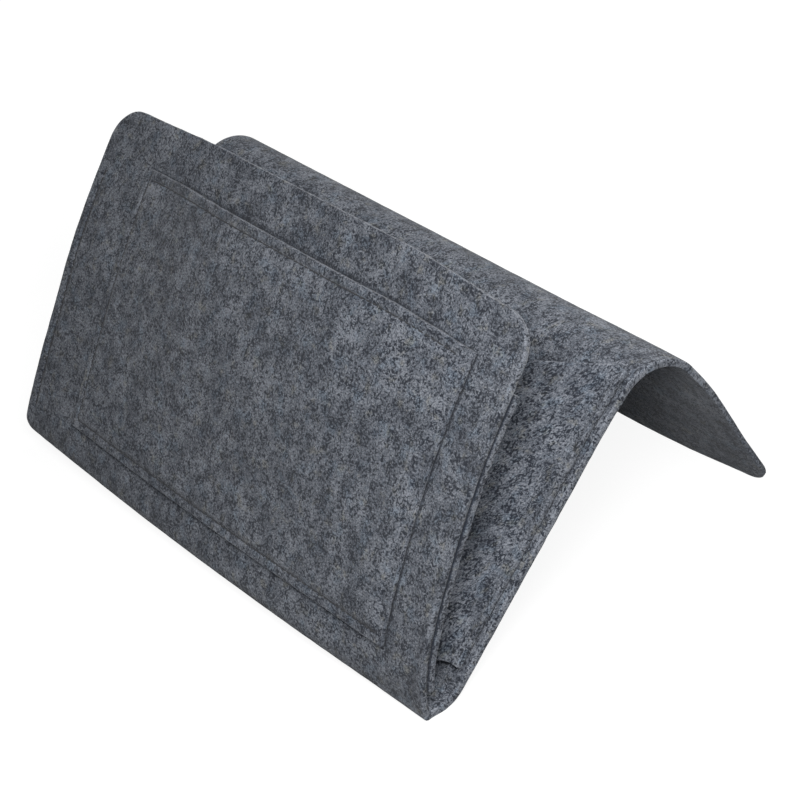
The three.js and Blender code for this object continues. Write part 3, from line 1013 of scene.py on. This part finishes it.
class StitchTree:
    """Geometry Nodes tree that lays a stitch at each point of a seam, with its inputs by name."""

    NAME = "Lock stitches"
    INPUTS = {"Seam": "Geometry", "Stitch": "Object", "Wander": "Float", "Slack": "Float",
              "Seed": "Int", "Thread": "Material"}

    def __init__(self) -> None:
        """Builds the tree."""
        self.tree = bpy.data.node_groups.new(self.NAME, "GeometryNodeTree")
        face = self.tree.interface
        self.ids: dict[str, str] = {}
        for name, kind in self.INPUTS.items():
            socket = face.new_socket(name, in_out="INPUT", socket_type=f"NodeSocket{kind}")
            self.ids[name] = socket.identifier
        face.new_socket("Stitches", in_out="OUTPUT", socket_type="NodeSocketGeometry")
        g = Graph(self.tree)
        given = g.add("NodeGroupInput").outputs

        def chance(low: Socket, high: Socket) -> Socket:
            """Random number for each stitch."""
            inputs = {2: low, 3: high, "Seed": given["Seed"]}
            return g.add("FunctionNodeRandomValue", inputs, data_type="FLOAT").outputs[1]

        points = g.add("GeometryNodeMeshToPoints", {"Mesh": given["Seam"]}).outputs[0]
        along, up = (g.add("GeometryNodeInputNamedAttribute", {"Name": name},
                           data_type="FLOAT_VECTOR").outputs[0] for name in ("along", "up"))
        turn = g.add("FunctionNodeAxesToRotation", {"Primary Axis": up, "Secondary Axis": along},
                     primary_axis="Z", secondary_axis="X").outputs[0]
        yaw = chance(g.maths("MULTIPLY", given["Wander"], -1.0), given["Wander"])
        tilt = g.add("ShaderNodeCombineXYZ", {"Z": yaw}).outputs[0]
        local = g.add("FunctionNodeEulerToRotation", {0: tilt}).outputs[0]
        laid = g.add("FunctionNodeRotateRotation", {"Rotation": turn, "Rotate By": local},
                     rotation_space="LOCAL").outputs[0]
        size = chance(g.maths("SUBTRACT", 1.0, given["Slack"]),
                      g.maths("ADD", 1.0, given["Slack"]))
        stitch = g.add("GeometryNodeObjectInfo", {"Object": given["Stitch"]}).outputs["Geometry"]
        placed = g.add("GeometryNodeInstanceOnPoints", {
            "Points": points, "Instance": stitch, "Rotation": laid, "Scale": size}).outputs[0]
        real = g.add("GeometryNodeRealizeInstances", {0: placed}).outputs[0]
        dyed = g.add("GeometryNodeSetMaterial", {"Geometry": real, "Material": given["Thread"]})
        g.add("NodeGroupOutput", {"Stitches": dyed.outputs[0]})


@dataclass
class Stitching:
    """Lock stitches of the caddy, each seam as its own piece.

    Attributes:
        share: stitch length as a share of the pitch.
        wander: turn of a stitch off the seam's line, at most.
        slack: change of its size, at most.
        seed: number that fixes the last seam's draws.
    """

    material: bpy.types.Material
    diameter: float = 0.8 * MM
    share: float = 0.97
    wander: float = 0.05
    slack: float = 0.05
    tree: StitchTree = field(default_factory=StitchTree)
    seed: int = 40
    RINGS, SIDES, TWIST = 6, 5, 2.6
    PLY_OFFSET, PLY_RADIUS, CROWN, DIP = 0.24, 0.29, 0.16, 0.95

    def stitch(self, length: float) -> bpy.types.Object:
        """Two twisted plies that dip into the felt at both ends.

        Args:
            length: length of the stitch.

        Returns:
            The stitch along X with the felt's face at Z zero, not yet in the scene.
        """
        rings, sides, wide = self.RINGS, self.SIDES, self.diameter
        t = np.linspace(-1.0, 1.0, rings)
        core, ply = self.PLY_OFFSET * wide, self.PLY_RADIUS * wide
        lift = self.CROWN * wide - self.DIP * wide * np.abs(t) ** 5
        a = 2 * math.pi * np.arange(sides) / sides
        ring = np.stack([0 * a, ply * np.cos(a), ply * np.sin(a)], -1)
        verts, faces, ends = [], [], []
        for base, start in ((0, 0.0), (rings * sides, math.pi)):
            twist = start + self.TWIST * t
            swung = core * np.cos(twist), lift + core * np.sin(twist)
            centre = np.stack([t * length / 2, *swung], -1)
            verts.append((centre[:, None] + ring[None]).reshape(-1, 3))
            k = base + np.arange(rings * sides).reshape(rings, sides)
            n = np.roll(k, -1, 1)
            faces += np.stack([k[:-1], n[:-1], n[1:], k[1:]], -1).reshape(-1, 4).tolist()
            ends += [k[0].tolist(), k[-1, ::-1].tolist()]
        faces += ends
        mesh = bpy.data.meshes.new("stitch")
        mesh.from_pydata(np.concatenate(verts).tolist(), [], faces)
        mesh.polygons.foreach_set("use_smooth", np.ones(len(faces), dtype=bool))
        return bpy.data.objects.new("stitch", mesh)

    def sew(self, stem: str, seam: Seam, surface: Surface, face: Face, body: str) -> None:
        """Sews one seam on one face of the felt.

        Args:
            stem: name of the piece and of the CAD thread that it stands for, without its end.
            seam: line of the stitches.
            surface: points of the felt's face at flat places.
            face: which way the face looks from the surface's normal.
            body: body that the seam rides on.
        """
        name = f"{stem}_stitches"
        middles, ways, depths = seam.stitches()
        x, s = middles[:, 0], middles[:, 1]
        at = surface(x, s)
        up = normals(surface, x, s) * face.value
        along = unit(surface(x + NUDGE * ways[:, 0], s + NUDGE * ways[:, 1]) - at)
        mesh = bpy.data.meshes.new(name)
        mesh.from_pydata((at - up * depths[:, None]).tolist(), [], [])
        for label, values in (("along", along), ("up", up)):
            named = mesh.attributes.new(label, "FLOAT_VECTOR", "POINT")
            named.data.foreach_set("vector", values.ravel())
        carrier = link(bpy.data.objects.new(name, mesh))
        stitch = self.stitch(seam.pitch * self.share)
        modifier = carrier.modifiers.new("stitches", "NODES")
        modifier.node_group = self.tree.tree
        self.seed += 1
        for label, value in (("Stitch", stitch), ("Wander", self.wander), ("Slack", self.slack),
                             ("Seed", self.seed), ("Thread", self.material)):
            modifier[self.tree.ids[label]] = value
        graph = bpy.context.evaluated_depsgraph_get()
        baked = bpy.data.meshes.new_from_object(carrier.evaluated_get(graph), depsgraph=graph)
        carrier.modifiers.remove(modifier)
        bpy.data.objects.remove(carrier)
        bpy.data.objects.remove(stitch)
        bpy.data.meshes.remove(mesh)
        baked.name = name
        piece = add_piece(baked, self.material)
        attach(piece, body)
        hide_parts(f"{stem}_thread")


@dataclass
class LongSheet:
    """The long felt sheet, in two shells that meet across the middle of the back panel.

    Attributes:
        run: course of the sheet.
        seam_inset: distance of the gussets' seams from the sheet's edges.
        corner: radius of the sheet's corners.
        corner_room: how far inside the corners the grid is drawn in.
        thin: how far the tongue's outer face falls at its edges.
        thin_reach: how far inside the edges it starts to fall.
        tongue_fade: length before the ridge that the thinning ends over.
        meet: length beside the join of the two shells that is kept even.
        cut: radius of the rubbed arris of a cut edge.
        open_step: spacing of the grid in the open field.
        fold_steps: spacing in the ridge, in the heel and in the toe.
    """

    run: SheetRun
    seam_inset: float = 6 * MM
    corner: float = 18.5 * MM
    corner_room: float = 27.5 * MM
    thin: float = 0.9 * MM
    thin_reach: float = 12 * MM
    tongue_fade: float = 45 * MM
    meet: float = 25 * MM
    cut: float = 0.55 * MM
    open_step: float = 2.1 * MM
    fold_steps: tuple[float, float, float] = (1.6 * MM, 1.2 * MM, 0.7 * MM)

    @property
    def split(self) -> float:
        """Station where the two shells meet."""
        return self.run.back_foot - 0.5 * self.run.sizes.back

    def half_width(self, s: Array) -> Array:
        """Half the sheet's width, with the rounded corners of both ends.

        Args:
            s: stations along.

        Returns:
            Half the width at each station.
        """
        half = np.full(np.shape(s), self.run.sizes.width / 2)
        for from_end in (s, self.run.top - s):
            left = self.corner - np.minimum(from_end, self.corner)
            half = half - self.corner + np.sqrt(np.maximum(self.corner**2 - left**2, 0.0))
        return half

    def rows(self, low: float, high: float, seams: Sequence[float]) -> Array:
        """Stations of the grid's rows, closer together in the folds and at the corners.

        Args:
            low: first station.
            high: last station.
            seams: stations of seams that run across.

        Returns:
            Rising stations.
        """
        run = self.run
        marks = run.stations[1:6].tolist()
        ridge, heel, toe = self.fold_steps
        steps = {marks[0]: ridge, marks[2]: heel, marks[3]: toe}
        stops = [low] + [m for m in marks if low < m < high] + [high]
        parts = [even(a, b, steps.get(a, self.open_step)) for a, b in zip(stops, stops[1:])]
        base = np.unique(np.round(np.concatenate(parts), 7))
        beside = np.linspace(*BESIDE_SEAM[[0, -1]], len(BESIDE_SEAM))
        fine = [seam + beside for seam in seams]
        bow = 1 - np.cos(np.radians(np.arange(0, 91, 7.5)))
        fine.append(self.corner * bow if low == 0.0 else run.top - self.corner * bow)
        return merged(np.concatenate(fine), base, self.open_step, 6)

    def grid(self, rows: Array, seams: Sequence[float]) -> Array:
        """Flat places of the grid, drawn in at the rounded corners.

        Args:
            rows: stations of the rows.
            seams: places of the seams that run along the sheet.

        Returns:
            Rows by columns by two.
        """
        half = self.run.sizes.width / 2
        cols = ticks(-half, half, self.open_step, seams)
        still = half - self.corner - self.corner_room
        wide = np.maximum(np.abs(cols) - still, 0.0)
        share = (self.half_width(rows) - still) / (half - still)
        out = np.minimum(np.abs(cols), still)[None] + wide[None] * share[:, None]
        x = np.sign(cols)[None] * out
        return np.stack([x, np.broadcast_to(rows[:, None], x.shape)], -1)


@dataclass(frozen=True)
class PatchSizes:
    """Sizes of the patch pocket on the front panel."""

    width: float = 252 * MM
    height: float = 134.5 * MM
    foot: float = 13.5 * MM
    shift: float = 10 * MM
    seam: float = 4.5 * MM
    slack: float = 6.5 * MM
    edge: float = 2 * MM
    ramp: float = 85 * MM
    mouth: float = 20 * MM
    seam_end: float = 2 * MM
    hem_end: float = 4 * MM
    pressed: float = 1.1 * MM


@dataclass
class PatchPocket:
    """Patch sewn on the front panel along its sides and foot, slack at its mouth."""

    run: SheetRun
    sizes: PatchSizes = PatchSizes()
    # painted shade in the mouth's slot and a painted shadow line beside the right edge
    SLOT_SHADE, EDGE_SHADE = 0.65, 0.8
    SLOT_FROM, SLOT_FULL, SLOT_FALL, SLOT_END = -14 * MM, -8 * MM, -0.4 * MM, 1.2 * MM
    SLOT_SIDE = 5 * MM
    EDGE_FALL, EDGE_END = -0.2 * MM, 0.8 * MM

    @property
    def sides(self) -> tuple[float, float]:
        """Places of the two side seams."""
        z = self.sizes
        return z.shift - z.width / 2 + z.seam, z.shift + z.width / 2 - z.seam

    @property
    def right_edge(self) -> float:
        """Place of the patch's right edge."""
        return self.sizes.shift + self.sizes.width / 2

    @property
    def foot(self) -> float:
        """Station of the patch's foot."""
        return self.run.front_foot + self.sizes.foot

    @property
    def mouth(self) -> float:
        """Station of the patch's top edge."""
        return self.foot + self.sizes.height

    @property
    def seam(self) -> Seam:
        """U of stitches round the sides and the foot."""
        left, right = self.sides
        top, low = self.mouth - self.sizes.seam_end, self.foot + self.sizes.seam
        path = ((left, top), (left, low), (right, low), (right, top))
        return Seam(path, shows=(0.85, 1.0, 0.4))

    @property
    def hem(self) -> Seam:
        """Stitches along the mouth."""
        left, right = self.sides
        s, end = self.mouth - self.sizes.seam, self.sizes.hem_end
        return Seam(((left + end, s), (right - end, s)))

    def slack(self, x: Array, s: Array) -> Array:
        """How far the patch stands off the front panel.

        Args:
            x: places across.
            s: stations along.

        Returns:
            Distance at each place, most in the middle of the mouth.
        """
        z = self.sizes
        left, right = self.sides
        across = ease(np.minimum(x - left, right - x) - z.edge, 0.0, z.ramp)
        return z.slack * across * ease(s, self.foot + z.seam + z.edge, self.mouth - z.mouth)

    def press(self, x: Array, s: Array) -> Array:
        """How far the sewing has pressed the patch's outer face down at its sides and foot.

        Args:
            x: places across.
            s: stations along.

        Returns:
            Depth at each place, most at the edge.
        """
        z = self.sizes
        left, right = self.sides
        inside = np.minimum(np.minimum(x - left, right - x), s - self.foot - z.seam)
        return z.pressed * (1.0 - ease(inside, -z.seam, z.seam))

    def shade(self, x: Array, s: Array) -> Array:
        """Painted shade on the panel, in the slot of the mouth, and a painted shadow line beside
        the patch's right edge.

        Args:
            x: places across.
            s: stations along.

        Returns:
            Shares from 0 to 1.
        """
        left, right = self.sides
        edge, foot, mouth = self.right_edge, self.foot, self.mouth
        slot = hump(s, mouth + self.SLOT_FROM, mouth + self.SLOT_FULL,
                    mouth + self.SLOT_FALL, mouth + self.SLOT_END)
        slot = slot * hump(x, left - self.SLOT_SIDE, left, right, right + self.SLOT_SIDE)
        beside = hump(x, right, right + MM, edge + self.EDGE_FALL, edge + self.EDGE_END)
        beside = beside * hump(s, foot - MM, foot + 2 * MM, mouth - MM, mouth + MM)
        return np.maximum(self.SLOT_SHADE * slot, self.EDGE_SHADE * beside)

    def level(self, x: Array, s: Array, off: Values = 0.0) -> Array:
        """Points of the patch."""
        z = self.run.sizes
        return self.run.place(x, s, z.half + z.gap + z.half + self.slack(x, s) + off)


@dataclass(frozen=True)
class GussetSizes:
    """Sizes of a gusset: its two flanges, its seams and its inward fold.

    The front flange is flush with the panel's edge, and the back flange is set back from it.
    """

    flange: float = 8 * MM
    setback: float = 4 * MM
    back_foot: float = 7 * MM
    back_length: float = 143 * MM
    front_foot: float = 5 * MM
    front_length: float = 134 * MM
    depth_top: float = 62 * MM
    depth_foot: float = 20 * MM
    drop_top: float = 15 * MM
    drop_foot: float = 4 * MM
    seam_end: float = 2 * MM
    bend: float = 4 * MM
    flange_step: float = 1.3 * MM
    leaf_columns: int = 26
    even: float = 15 * MM
    blend: float = 2.5 * MM
    loose: float = 0.35


@dataclass
class Gusset:
    """One side's felt gusset, folded inwards, as two halves that meet in the fold.

    Its seams lie seam_x from the middle line of the long sheet.
    """

    run: SheetRun
    hand: Hand
    seam_x: float
    sizes: GussetSizes = GussetSizes()

    def stations(self, panel: Panel) -> tuple[float, float]:
        """Stations of a seam.

        Args:
            panel: panel that the half is sewn to.

        Returns:
            Stations of its foot and top.
        """
        z = self.sizes
        if panel is Panel.BACK:
            foot = self.run.back_foot - z.back_foot
            return foot, foot - z.back_length
        foot = self.run.front_foot + z.front_foot
        return foot, foot + z.front_length

    @property
    def level(self) -> float:
        """Level of a flange's middle off the sheet's middle."""
        return -(self.run.sizes.felt + self.run.sizes.gap)

    @property
    def bend_x(self) -> float:
        """Place of the bend beside a flange, without the sign."""
        z = self.run.sizes
        return z.width / 2 - self.sizes.flange - z.half - z.gap

    @property
    def to_bend(self) -> float:
        """Distance of the bend from the panel's edge."""
        return self.run.sizes.width / 2 - self.bend_x

    def across(self, d: Values) -> Values:
        """Places across the long sheet, from distances off the panel's edge."""
        return self.hand.value * (self.run.sizes.width / 2 - d)

    def bend(self, panel: Panel, u: Array) -> Array:
        """Points of the bend line, at shares of the seam's height."""
        foot, top = self.stations(panel)
        return self.run.place(self.hand.value * self.bend_x, foot + (top - foot) * u, self.level)

    def fold(self, u: Array) -> Array:
        """Points of the fold.

        Args:
            u: shares of the seams' height.

        Returns:
            Points on the straight line between the fold's two ends.
        """
        z = self.sizes
        ends = []
        foot, top = (0.0, z.depth_foot, z.drop_foot), (1.0, z.depth_top, z.drop_top)
        for share, depth, drop in (foot, top):
            at = np.array(share)
            middle = (self.bend(Panel.FRONT, at) + self.bend(Panel.BACK, at)) / 2
            down = self.run.spin @ np.array([0.0, -drop])
            ends.append(middle + np.array([-self.hand.value * depth, *down]))
        return ends[0] + np.asarray(u)[..., None] * (ends[1] - ends[0])

    def share(self, panel: Panel, s: Array) -> Array:
        """Shares of the seam's height, at its stations."""
        foot, top = self.stations(panel)
        return (s - foot) / (top - foot)

    def edge(self, panel: Panel) -> float:
        """Distance of a flange's edge from the panel's edge."""
        return self.sizes.setback if panel is Panel.BACK else 0.0

    def ends(self, panel: Panel, s: Array) -> Array:
        """Distance of a leaf's end in the fold from the panel's edge.

        Args:
            panel: panel that the half is sewn to.
            s: stations of its seam.

        Returns:
            Distance at each station.
        """
        u = self.share(panel, s)
        reach = np.linalg.norm(self.fold(u) - self.bend(panel, u), axis=-1)
        return self.to_bend + reach + self.run.sizes.half

    def surface(self, panel: Panel) -> Surface:
        """Middle of one half at flat places.

        Args:
            panel: panel that the half is sewn to.

        Returns:
            Function from the distance to the panel's edge and the seam's station.
        """
        to_bend, b = self.to_bend, self.sizes.bend

        def at(d: Array, s: Array) -> Array:
            """Points of the flange, of the bend and of the leaf."""
            u = self.share(panel, s)
            corner = self.bend(panel, u)
            way = unit(self.fold(u) - corner)
            past = (d - to_bend)[..., None]
            flange = self.run.place(self.across(d), s, self.level)
            leaf = corner + way * past
            t = np.clip((d - to_bend + b) / (2 * b), 0.0, 1.0)[..., None]
            start = self.run.place(self.across(to_bend - b), s, self.level)
            turned = (1 - t) ** 2 * start + 2 * t * (1 - t) * corner + t**2 * (corner + way * b)
            return np.where(past < -b, flange, np.where(past > b, leaf, turned))

        return at

    def seam(self, panel: Panel, face: Face) -> Seam:
        """Stitches that hold one flange, on the long sheet's flat places.

        Args:
            panel: panel that the flange is sewn to.
            face: face of the felt that they show on.

        Returns:
            The seam, sunk in the soft flange inside the pocket and loose on the right front.
        """
        foot, top = self.stations(panel)
        end = math.copysign(self.sizes.seam_end, top - foot)
        x = self.hand.value * self.seam_x
        loose = face is Face.POCKET or (panel is Panel.FRONT and self.hand is Hand.RIGHT)
        return Seam(((x, foot + end), (x, top - end)), shows=(self.sizes.loose if loose else 1.0,))

    def grid(self, panel: Panel, step: float) -> Array:
        """Flat places of one half.

        Args:
            panel: panel that the half is sewn to.
            step: spacing of the rows.

        Returns:
            Distance from the panel's edge and station, rows by columns by two.
        """
        z, sizes = self.run.sizes, self.sizes
        rows = ticks(*sorted(self.stations(panel)), step)
        seam = z.width / 2 - self.seam_x
        near = ticks(self.edge(panel), self.to_bend + sizes.bend, sizes.flange_step, (seam,))
        ends = self.ends(panel, rows)
        far = np.linspace(0.0, 1.0, sizes.leaf_columns + 1)[1:]
        leaf = near[-1] + (ends - near[-1])[:, None] * far[None]
        d = np.concatenate([np.broadcast_to(near[None], (len(rows), len(near))), leaf], 1)
        return np.stack([d, np.broadcast_to(rows[:, None], d.shape)], -1)


class Caddy:
    """The whole caddy: builds its pieces, dresses them and joins the patch and the stitches to the
    frame's bodies.
    """

    LONG_RELIEF, LONG_SIZE = 0.22 * MM, 46 * MM
    SHORT_RELIEF, SHORT_SIZE = 0.05 * MM, 5.2 * MM
    # The tongue's cut edges lose their paleness and take painted shade.
    TONGUE_WEAR, SEAT_WEAR, PATCH_WEAR = 1.3, 0.7, 0.35
    # The gusset leaves' top edges are painted paler, a painted highlight over their rubbed cut
    # edge.
    LEAF_TOP_WEAR, LEAF_WEAR, FLANGE_SEAT, FOLD_ROUND = 2.6, 0.6, 1.5, 0.96
    RIDGE_BLEND, HEEL_BLEND = 6 * MM, (6 * MM, 19 * MM)

    def __init__(self) -> None:
        """Lays out the sub-assemblies and makes the finishes."""
        self.run = SheetRun(SheetSizes(), frame["record"]["behaviour"]["joints"])
        self.sheet = LongSheet(self.run)
        self.patch = PatchPocket(self.run)
        seam_x = self.run.sizes.width / 2 - self.sheet.seam_inset
        self.gussets = [Gusset(self.run, hand, seam_x) for hand in Hand]
        slots = ("felt_front", "felt_back", "felt_under")
        self.felts = {slot: FeltFinish(slot).material() for slot in slots}
        self.stitching = Stitching(ThreadFinish().material())

    def felt(self, shell: FeltShell, slot: str) -> bpy.types.Object:
        """Makes a felt piece of a shell, with the finish of its slot."""
        return add_piece(shell.mesh(), self.felts[slot])

    def relief(self, flat: Array, seed: int, share: Array) -> tuple[Array, Array]:
        """Unevenness of both faces of a felt piece.

        Args:
            flat: grid of flat places.
            seed: number that fixes the unevenness.
            share: how much of it there is at each place.

        Returns:
            Relief of the outer and of the inner face.
        """
        x, s = flat[..., 0], flat[..., 1]
        a, b = Relief(seed), Relief(seed + 1)
        wave = self.LONG_RELIEF * a.at(x, s, self.LONG_SIZE)
        outer = wave + self.SHORT_RELIEF * a.at(x, s, self.SHORT_SIZE)
        inner = -wave + self.SHORT_RELIEF * b.at(x, s, self.SHORT_SIZE)
        return outer * share, inner * share

    def build_sheet(self) -> None:
        """Builds the long sheet's two shells."""
        run, sheet, patch, z = self.run, self.sheet, self.patch, self.run.sizes
        ridge, cut = run.stations[1], sheet.cut
        lines = [g.hand.value * g.seam_x for g in self.gussets] + [*patch.sides, patch.right_edge]
        crossing = [patch.foot + patch.sizes.seam, patch.mouth]
        foot, top = self.gussets[0].stations(Panel.FRONT)
        for name, low, high, seams in (
            ("tongue_and_upper_back_felt", 0.0, sheet.split, []),
            ("lower_back_and_front_felt", sheet.split, run.top, crossing),
        ):
            flat = sheet.grid(sheet.rows(low, high, seams), lines)
            x, s = flat[..., 0], flat[..., 1]
            even_join = ease(np.abs(s - sheet.split), 0.0, sheet.meet)
            outer, inner = self.relief(flat, seed=11, share=even_join)
            for gusset in self.gussets:
                for panel in Panel:
                    outer = outer - gusset.seam(panel, Face.OUTER).groove(x, s)
            inner = inner - patch.seam.groove(x, s)
            tongue = 1.0 - ease(s, ridge - sheet.tongue_fade, ridge)
            inside = np.minimum(sheet.half_width(s) - np.abs(x), s)
            outer = outer - sheet.thin * tongue * (1.0 - ease(inside, 0.0, sheet.thin_reach))
            # the front panel over the gusset flanges takes painted shade in the gap
            seat = ((s > foot) & (s < top)).astype(float)
            upper = low == 0.0
            rounds = (cut, cut, 0.0, cut) if upper else (0.0, cut, cut, cut)
            # the tongue's cut edges are darkened with painted shade
            wear = 1.0 - self.TONGUE_WEAR * tongue - self.SEAT_WEAR * seat
            # the panel takes the patch's painted shade and painted shadow line
            shell = FeltShell(name, flat, run.place, z.half, outer, inner, rounds, seed=21,
                              wear=wear, seat=seat, shade=patch.shade(x, s))
            piece = self.felt(shell, "felt_under" if upper else "felt_front")
            if upper:
                sewn = self.gussets[0].stations(Panel.BACK)[1]
                tuple(run.point(sewn))
                tuple(run.point(ridge - self.RIDGE_BLEND))
                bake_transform(piece)
                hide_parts("tongue")
            else:
                inward = np.array([0.0, *(run.spin @ np.array([-1.0, 0.0]))])
                start, end = (tuple(run.point(run.back_foot) + far * inward)
                              for far in self.HEEL_BLEND)
                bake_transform(piece)
                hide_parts("back_panel", "front_panel")

    def build_patch(self) -> None:
        """Builds the patch pocket and its stitches."""
        patch, z = self.patch, self.patch.sizes
        half, step, cut = self.run.sizes.half, self.sheet.open_step, self.sheet.cut
        left, right = patch.sides
        cols = ticks(left - z.seam, right + z.seam, step, (left, right))
        rows = ticks(patch.foot, patch.mouth, step, (patch.foot + z.seam, patch.mouth - z.seam))
        flat = np.stack(np.meshgrid(cols, rows), -1)
        x, s = flat[..., 0], flat[..., 1]
        outer, inner = self.relief(flat, seed=31, share=patch.slack(x, s) / z.slack)
        outer = outer - patch.seam.groove(x, s) - patch.hem.groove(x, s) - patch.press(x, s)
        shell = FeltShell("patch_pocket_felt", flat, patch.level, half, outer,
                          inner - patch.hem.groove(x, s), (cut, cut, cut, cut), seed=33,
                          # painted shade in the gap under the patch's sewn edges
                          wear=self.PATCH_WEAR, seat=(s < patch.mouth - MM).astype(float))
        piece = self.felt(shell, "felt_front")
        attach(piece, "front")
        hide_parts("patch_pocket")
        for stem, seam, surface, face in (
            ("patch_seam_needle", patch.seam,
             lambda a, b: patch.level(a, b, half - patch.press(a, b)), Face.OUTER),
            ("patch_seam_bobbin", patch.seam,
             lambda a, b: self.run.place(a, b, -half), Face.POCKET),
            ("patch_hem_needle", patch.hem, lambda a, b: patch.level(a, b, half), Face.OUTER),
            ("patch_hem_bobbin", patch.hem, lambda a, b: patch.level(a, b, -half), Face.POCKET),
        ):
            self.stitching.sew(stem, seam, surface, face, "front")

    def build_half(self, gusset: Gusset, panel: Panel) -> None:
        """Builds one half of a gusset and sews it on.

        Args:
            gusset: gusset of one side.
            panel: panel that the half is sewn to.
        """
        run, z, sizes, cut = self.run, self.run.sizes, gusset.sizes, self.sheet.cut
        stem, body = f"{gusset.hand.name.lower()}_gusset_{panel.value}", panel.value
        foot, top = gusset.stations(panel)
        to_bend = gusset.to_bend
        flat = gusset.grid(panel, self.sheet.open_step)
        d, s = flat[..., 0], flat[..., 1]
        off_bend = ease(d, to_bend, to_bend + sizes.even)
        outer, inner = self.relief(flat, seed=51 + 4 * gusset.hand.value, share=off_bend)
        on_top = (d > to_bend) & (np.abs(s - top) < MM)
        shell = FeltShell(f"{stem}_felt", flat, gusset.surface(panel), z.half, outer, inner,
                          (cut, self.FOLD_ROUND * z.half, cut, cut), seed=57,
                          # painted highlight along the leaf's top cut edge
                          wear=np.where(on_top, self.LEAF_TOP_WEAR, self.LEAF_WEAR),
                          # painted shade in the gap between the flange and the panel
                          seat=np.where(d < to_bend - sizes.bend, self.FLANGE_SEAT, 0.0))
        groove = gusset.seam(panel, Face.POCKET).groove(gusset.across(d), s)
        sheet_up = run.place(np.array(0.0), np.array(foot), 1.0) - run.point(foot)
        if float(shell.normal()[len(flat) // 2, 1] @ sheet_up) < 0:
            shell.outer = outer - groove
        else:
            shell.inner = inner - groove
            shell.lips, shell.seat_side = shell.lips[::-1], 1
        piece = self.felt(shell, "felt_back")
        bend = gusset.bend(panel, np.array(0.5))
        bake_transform(piece)
        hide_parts(f"{stem}_flange", f"{stem}_leaf")
        rows = s[:, 0]
        wide = gusset.ends(panel, rows) - gusset.edge(panel)
        needle_face = Face.OUTER if panel is Panel.FRONT else Face.POCKET
        for label in ("needle", "bobbin"):
            face = needle_face if label == "needle" else Face(-needle_face.value)
            off = z.half if face is Face.OUTER else gusset.level - z.half
            self.stitching.sew(f"{stem}_{label}", gusset.seam(panel, face),
                               lambda a, b, n=off: run.place(a, b, n), face, body)

    def build(self) -> None:
        """Builds every piece."""
        self.build_sheet()
        self.build_patch()
        for gusset in self.gussets:
            for panel in Panel:
                self.build_half(gusset, panel)


@dataclass
class Studio:
    """Pale floor, soft light and the camera.

    Attributes:
        camera_turn: turn of the camera, in degrees.
        lens: focal length on a 36 mm sensor, in millimetres.
        nudge: move of the picture right and down, as a share of its width.
        ambient: strength of the surround as light.
        floor_grey: how much light the floor throws back.
        LAMPS: name, place, side and watts of each lamp.
        WHITE: from and to range of the floor's whiteness over the distance from its middle.
    """

    camera_at: Triple = (0.85475, -0.50170, 0.67798)
    camera_turn: Triple = (56.5781, 9.4178, 52.7794)
    lens: float = 112.5
    nudge: float = 0.5 / 800
    aim: Triple = (0.0, 0.0, 0.07)
    ambient: float = 0.1
    floor_side: float = 6.0
    floor_drop: float = 0.3 * MM
    floor_grey: float = 0.2
    LAMPS = (("key softbox", (0.55, -0.30, 0.60), 0.34, 5.95),
             ("rear softbox", (0.10, 0.35, 0.60), 0.4, 1.8))
    WHITE = {1: 0.3, 2: 0.9, 3: 0.9, 4: 1.05}

    def camera(self) -> None:
        """Adds the camera at the photograph's viewing angle."""
        data = bpy.data.cameras.new("camera")
        data.lens, data.sensor_width = self.lens, 36.0
        data.clip_start, data.clip_end = 0.05, 50.0
        data.shift_x, data.shift_y = -self.nudge, self.nudge
        camera = link(bpy.data.objects.new("camera", data))
        camera.location = self.camera_at
        camera.rotation_euler = Euler([math.radians(a) for a in self.camera_turn], "XYZ")
        bpy.context.scene.camera = camera

    def lamp(self, name: str, at: Triple, size: float, power: float) -> None:
        """Adds a square soft lamp that looks at the caddy.

        Args:
            name: name of the lamp.
            at: place of the lamp.
            size: length of its side.
            power: power in watts.
        """
        data = bpy.data.lights.new(name, "AREA")
        data.shape, data.size, data.energy = "SQUARE", size, power
        lamp = link(bpy.data.objects.new(name, data))
        lamp.location = at
        lamp.rotation_euler = (Vector(self.aim) - Vector(at)).to_track_quat("-Z", "Y").to_euler()

    def floor(self) -> None:
        """Adds the pale floor, which shows white and keeps the caddy's shadow."""
        side = self.floor_side
        mesh = bpy.data.meshes.new("floor")
        corners = [(-side, -side), (side, -side), (side, side), (-side, side)]
        mesh.from_pydata([(x, y, -self.floor_drop) for x, y in corners], [], [(0, 1, 2, 3)])
        floor = link(bpy.data.objects.new("floor", mesh))
        material, g, shader = new_material("pale floor")
        place = g.add("ShaderNodeTexCoord").outputs["Object"]
        away = g.vectors("LENGTH", {0: place}).outputs["Value"]
        white = g.add("ShaderNodeMapRange", {"Value": away, **self.WHITE}).outputs[0]
        g.fill(shader, {"Base Color": (*[self.floor_grey] * 3, 1.0), "Roughness": 1.0,
                        "Specular IOR Level": 0.0, "Emission Color": (1.0, 1.0, 1.0, 1.0),
                        "Emission Strength": g.maths("MULTIPLY", g.seen(), white)})
        mesh.materials.append(material)

    def world(self) -> None:
        """Sets the white surround, softer as light than as background."""
        world = bpy.data.worlds.new("studio")
        world.use_nodes = True
        bpy.context.scene.world = world
        g = Graph(world.node_tree)
        back = next(n for n in world.node_tree.nodes if n.type == "BACKGROUND")
        strength = g.maths("MULTIPLY_ADD", g.seen(), 1.0 - self.ambient, self.ambient)
        g.fill(back, {"Color": (1.0, 1.0, 1.0, 1.0), "Strength": strength})

    def build(self) -> None:
        """Adds the camera, the lamps, the floor and the surround."""
        self.camera()
        self.floor()
        self.world()
        for lamp in self.LAMPS:
            self.lamp(*lamp)
        bpy.context.scene.view_settings.view_transform = "Standard"


def main() -> None:
    """Builds the studio and the caddy."""
    logging.basicConfig(level=logging.INFO, format="%(name)s: %(message)s")
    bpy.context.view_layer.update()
    Studio().build()
    Caddy().build()


if __name__ == "__main__":
    main()
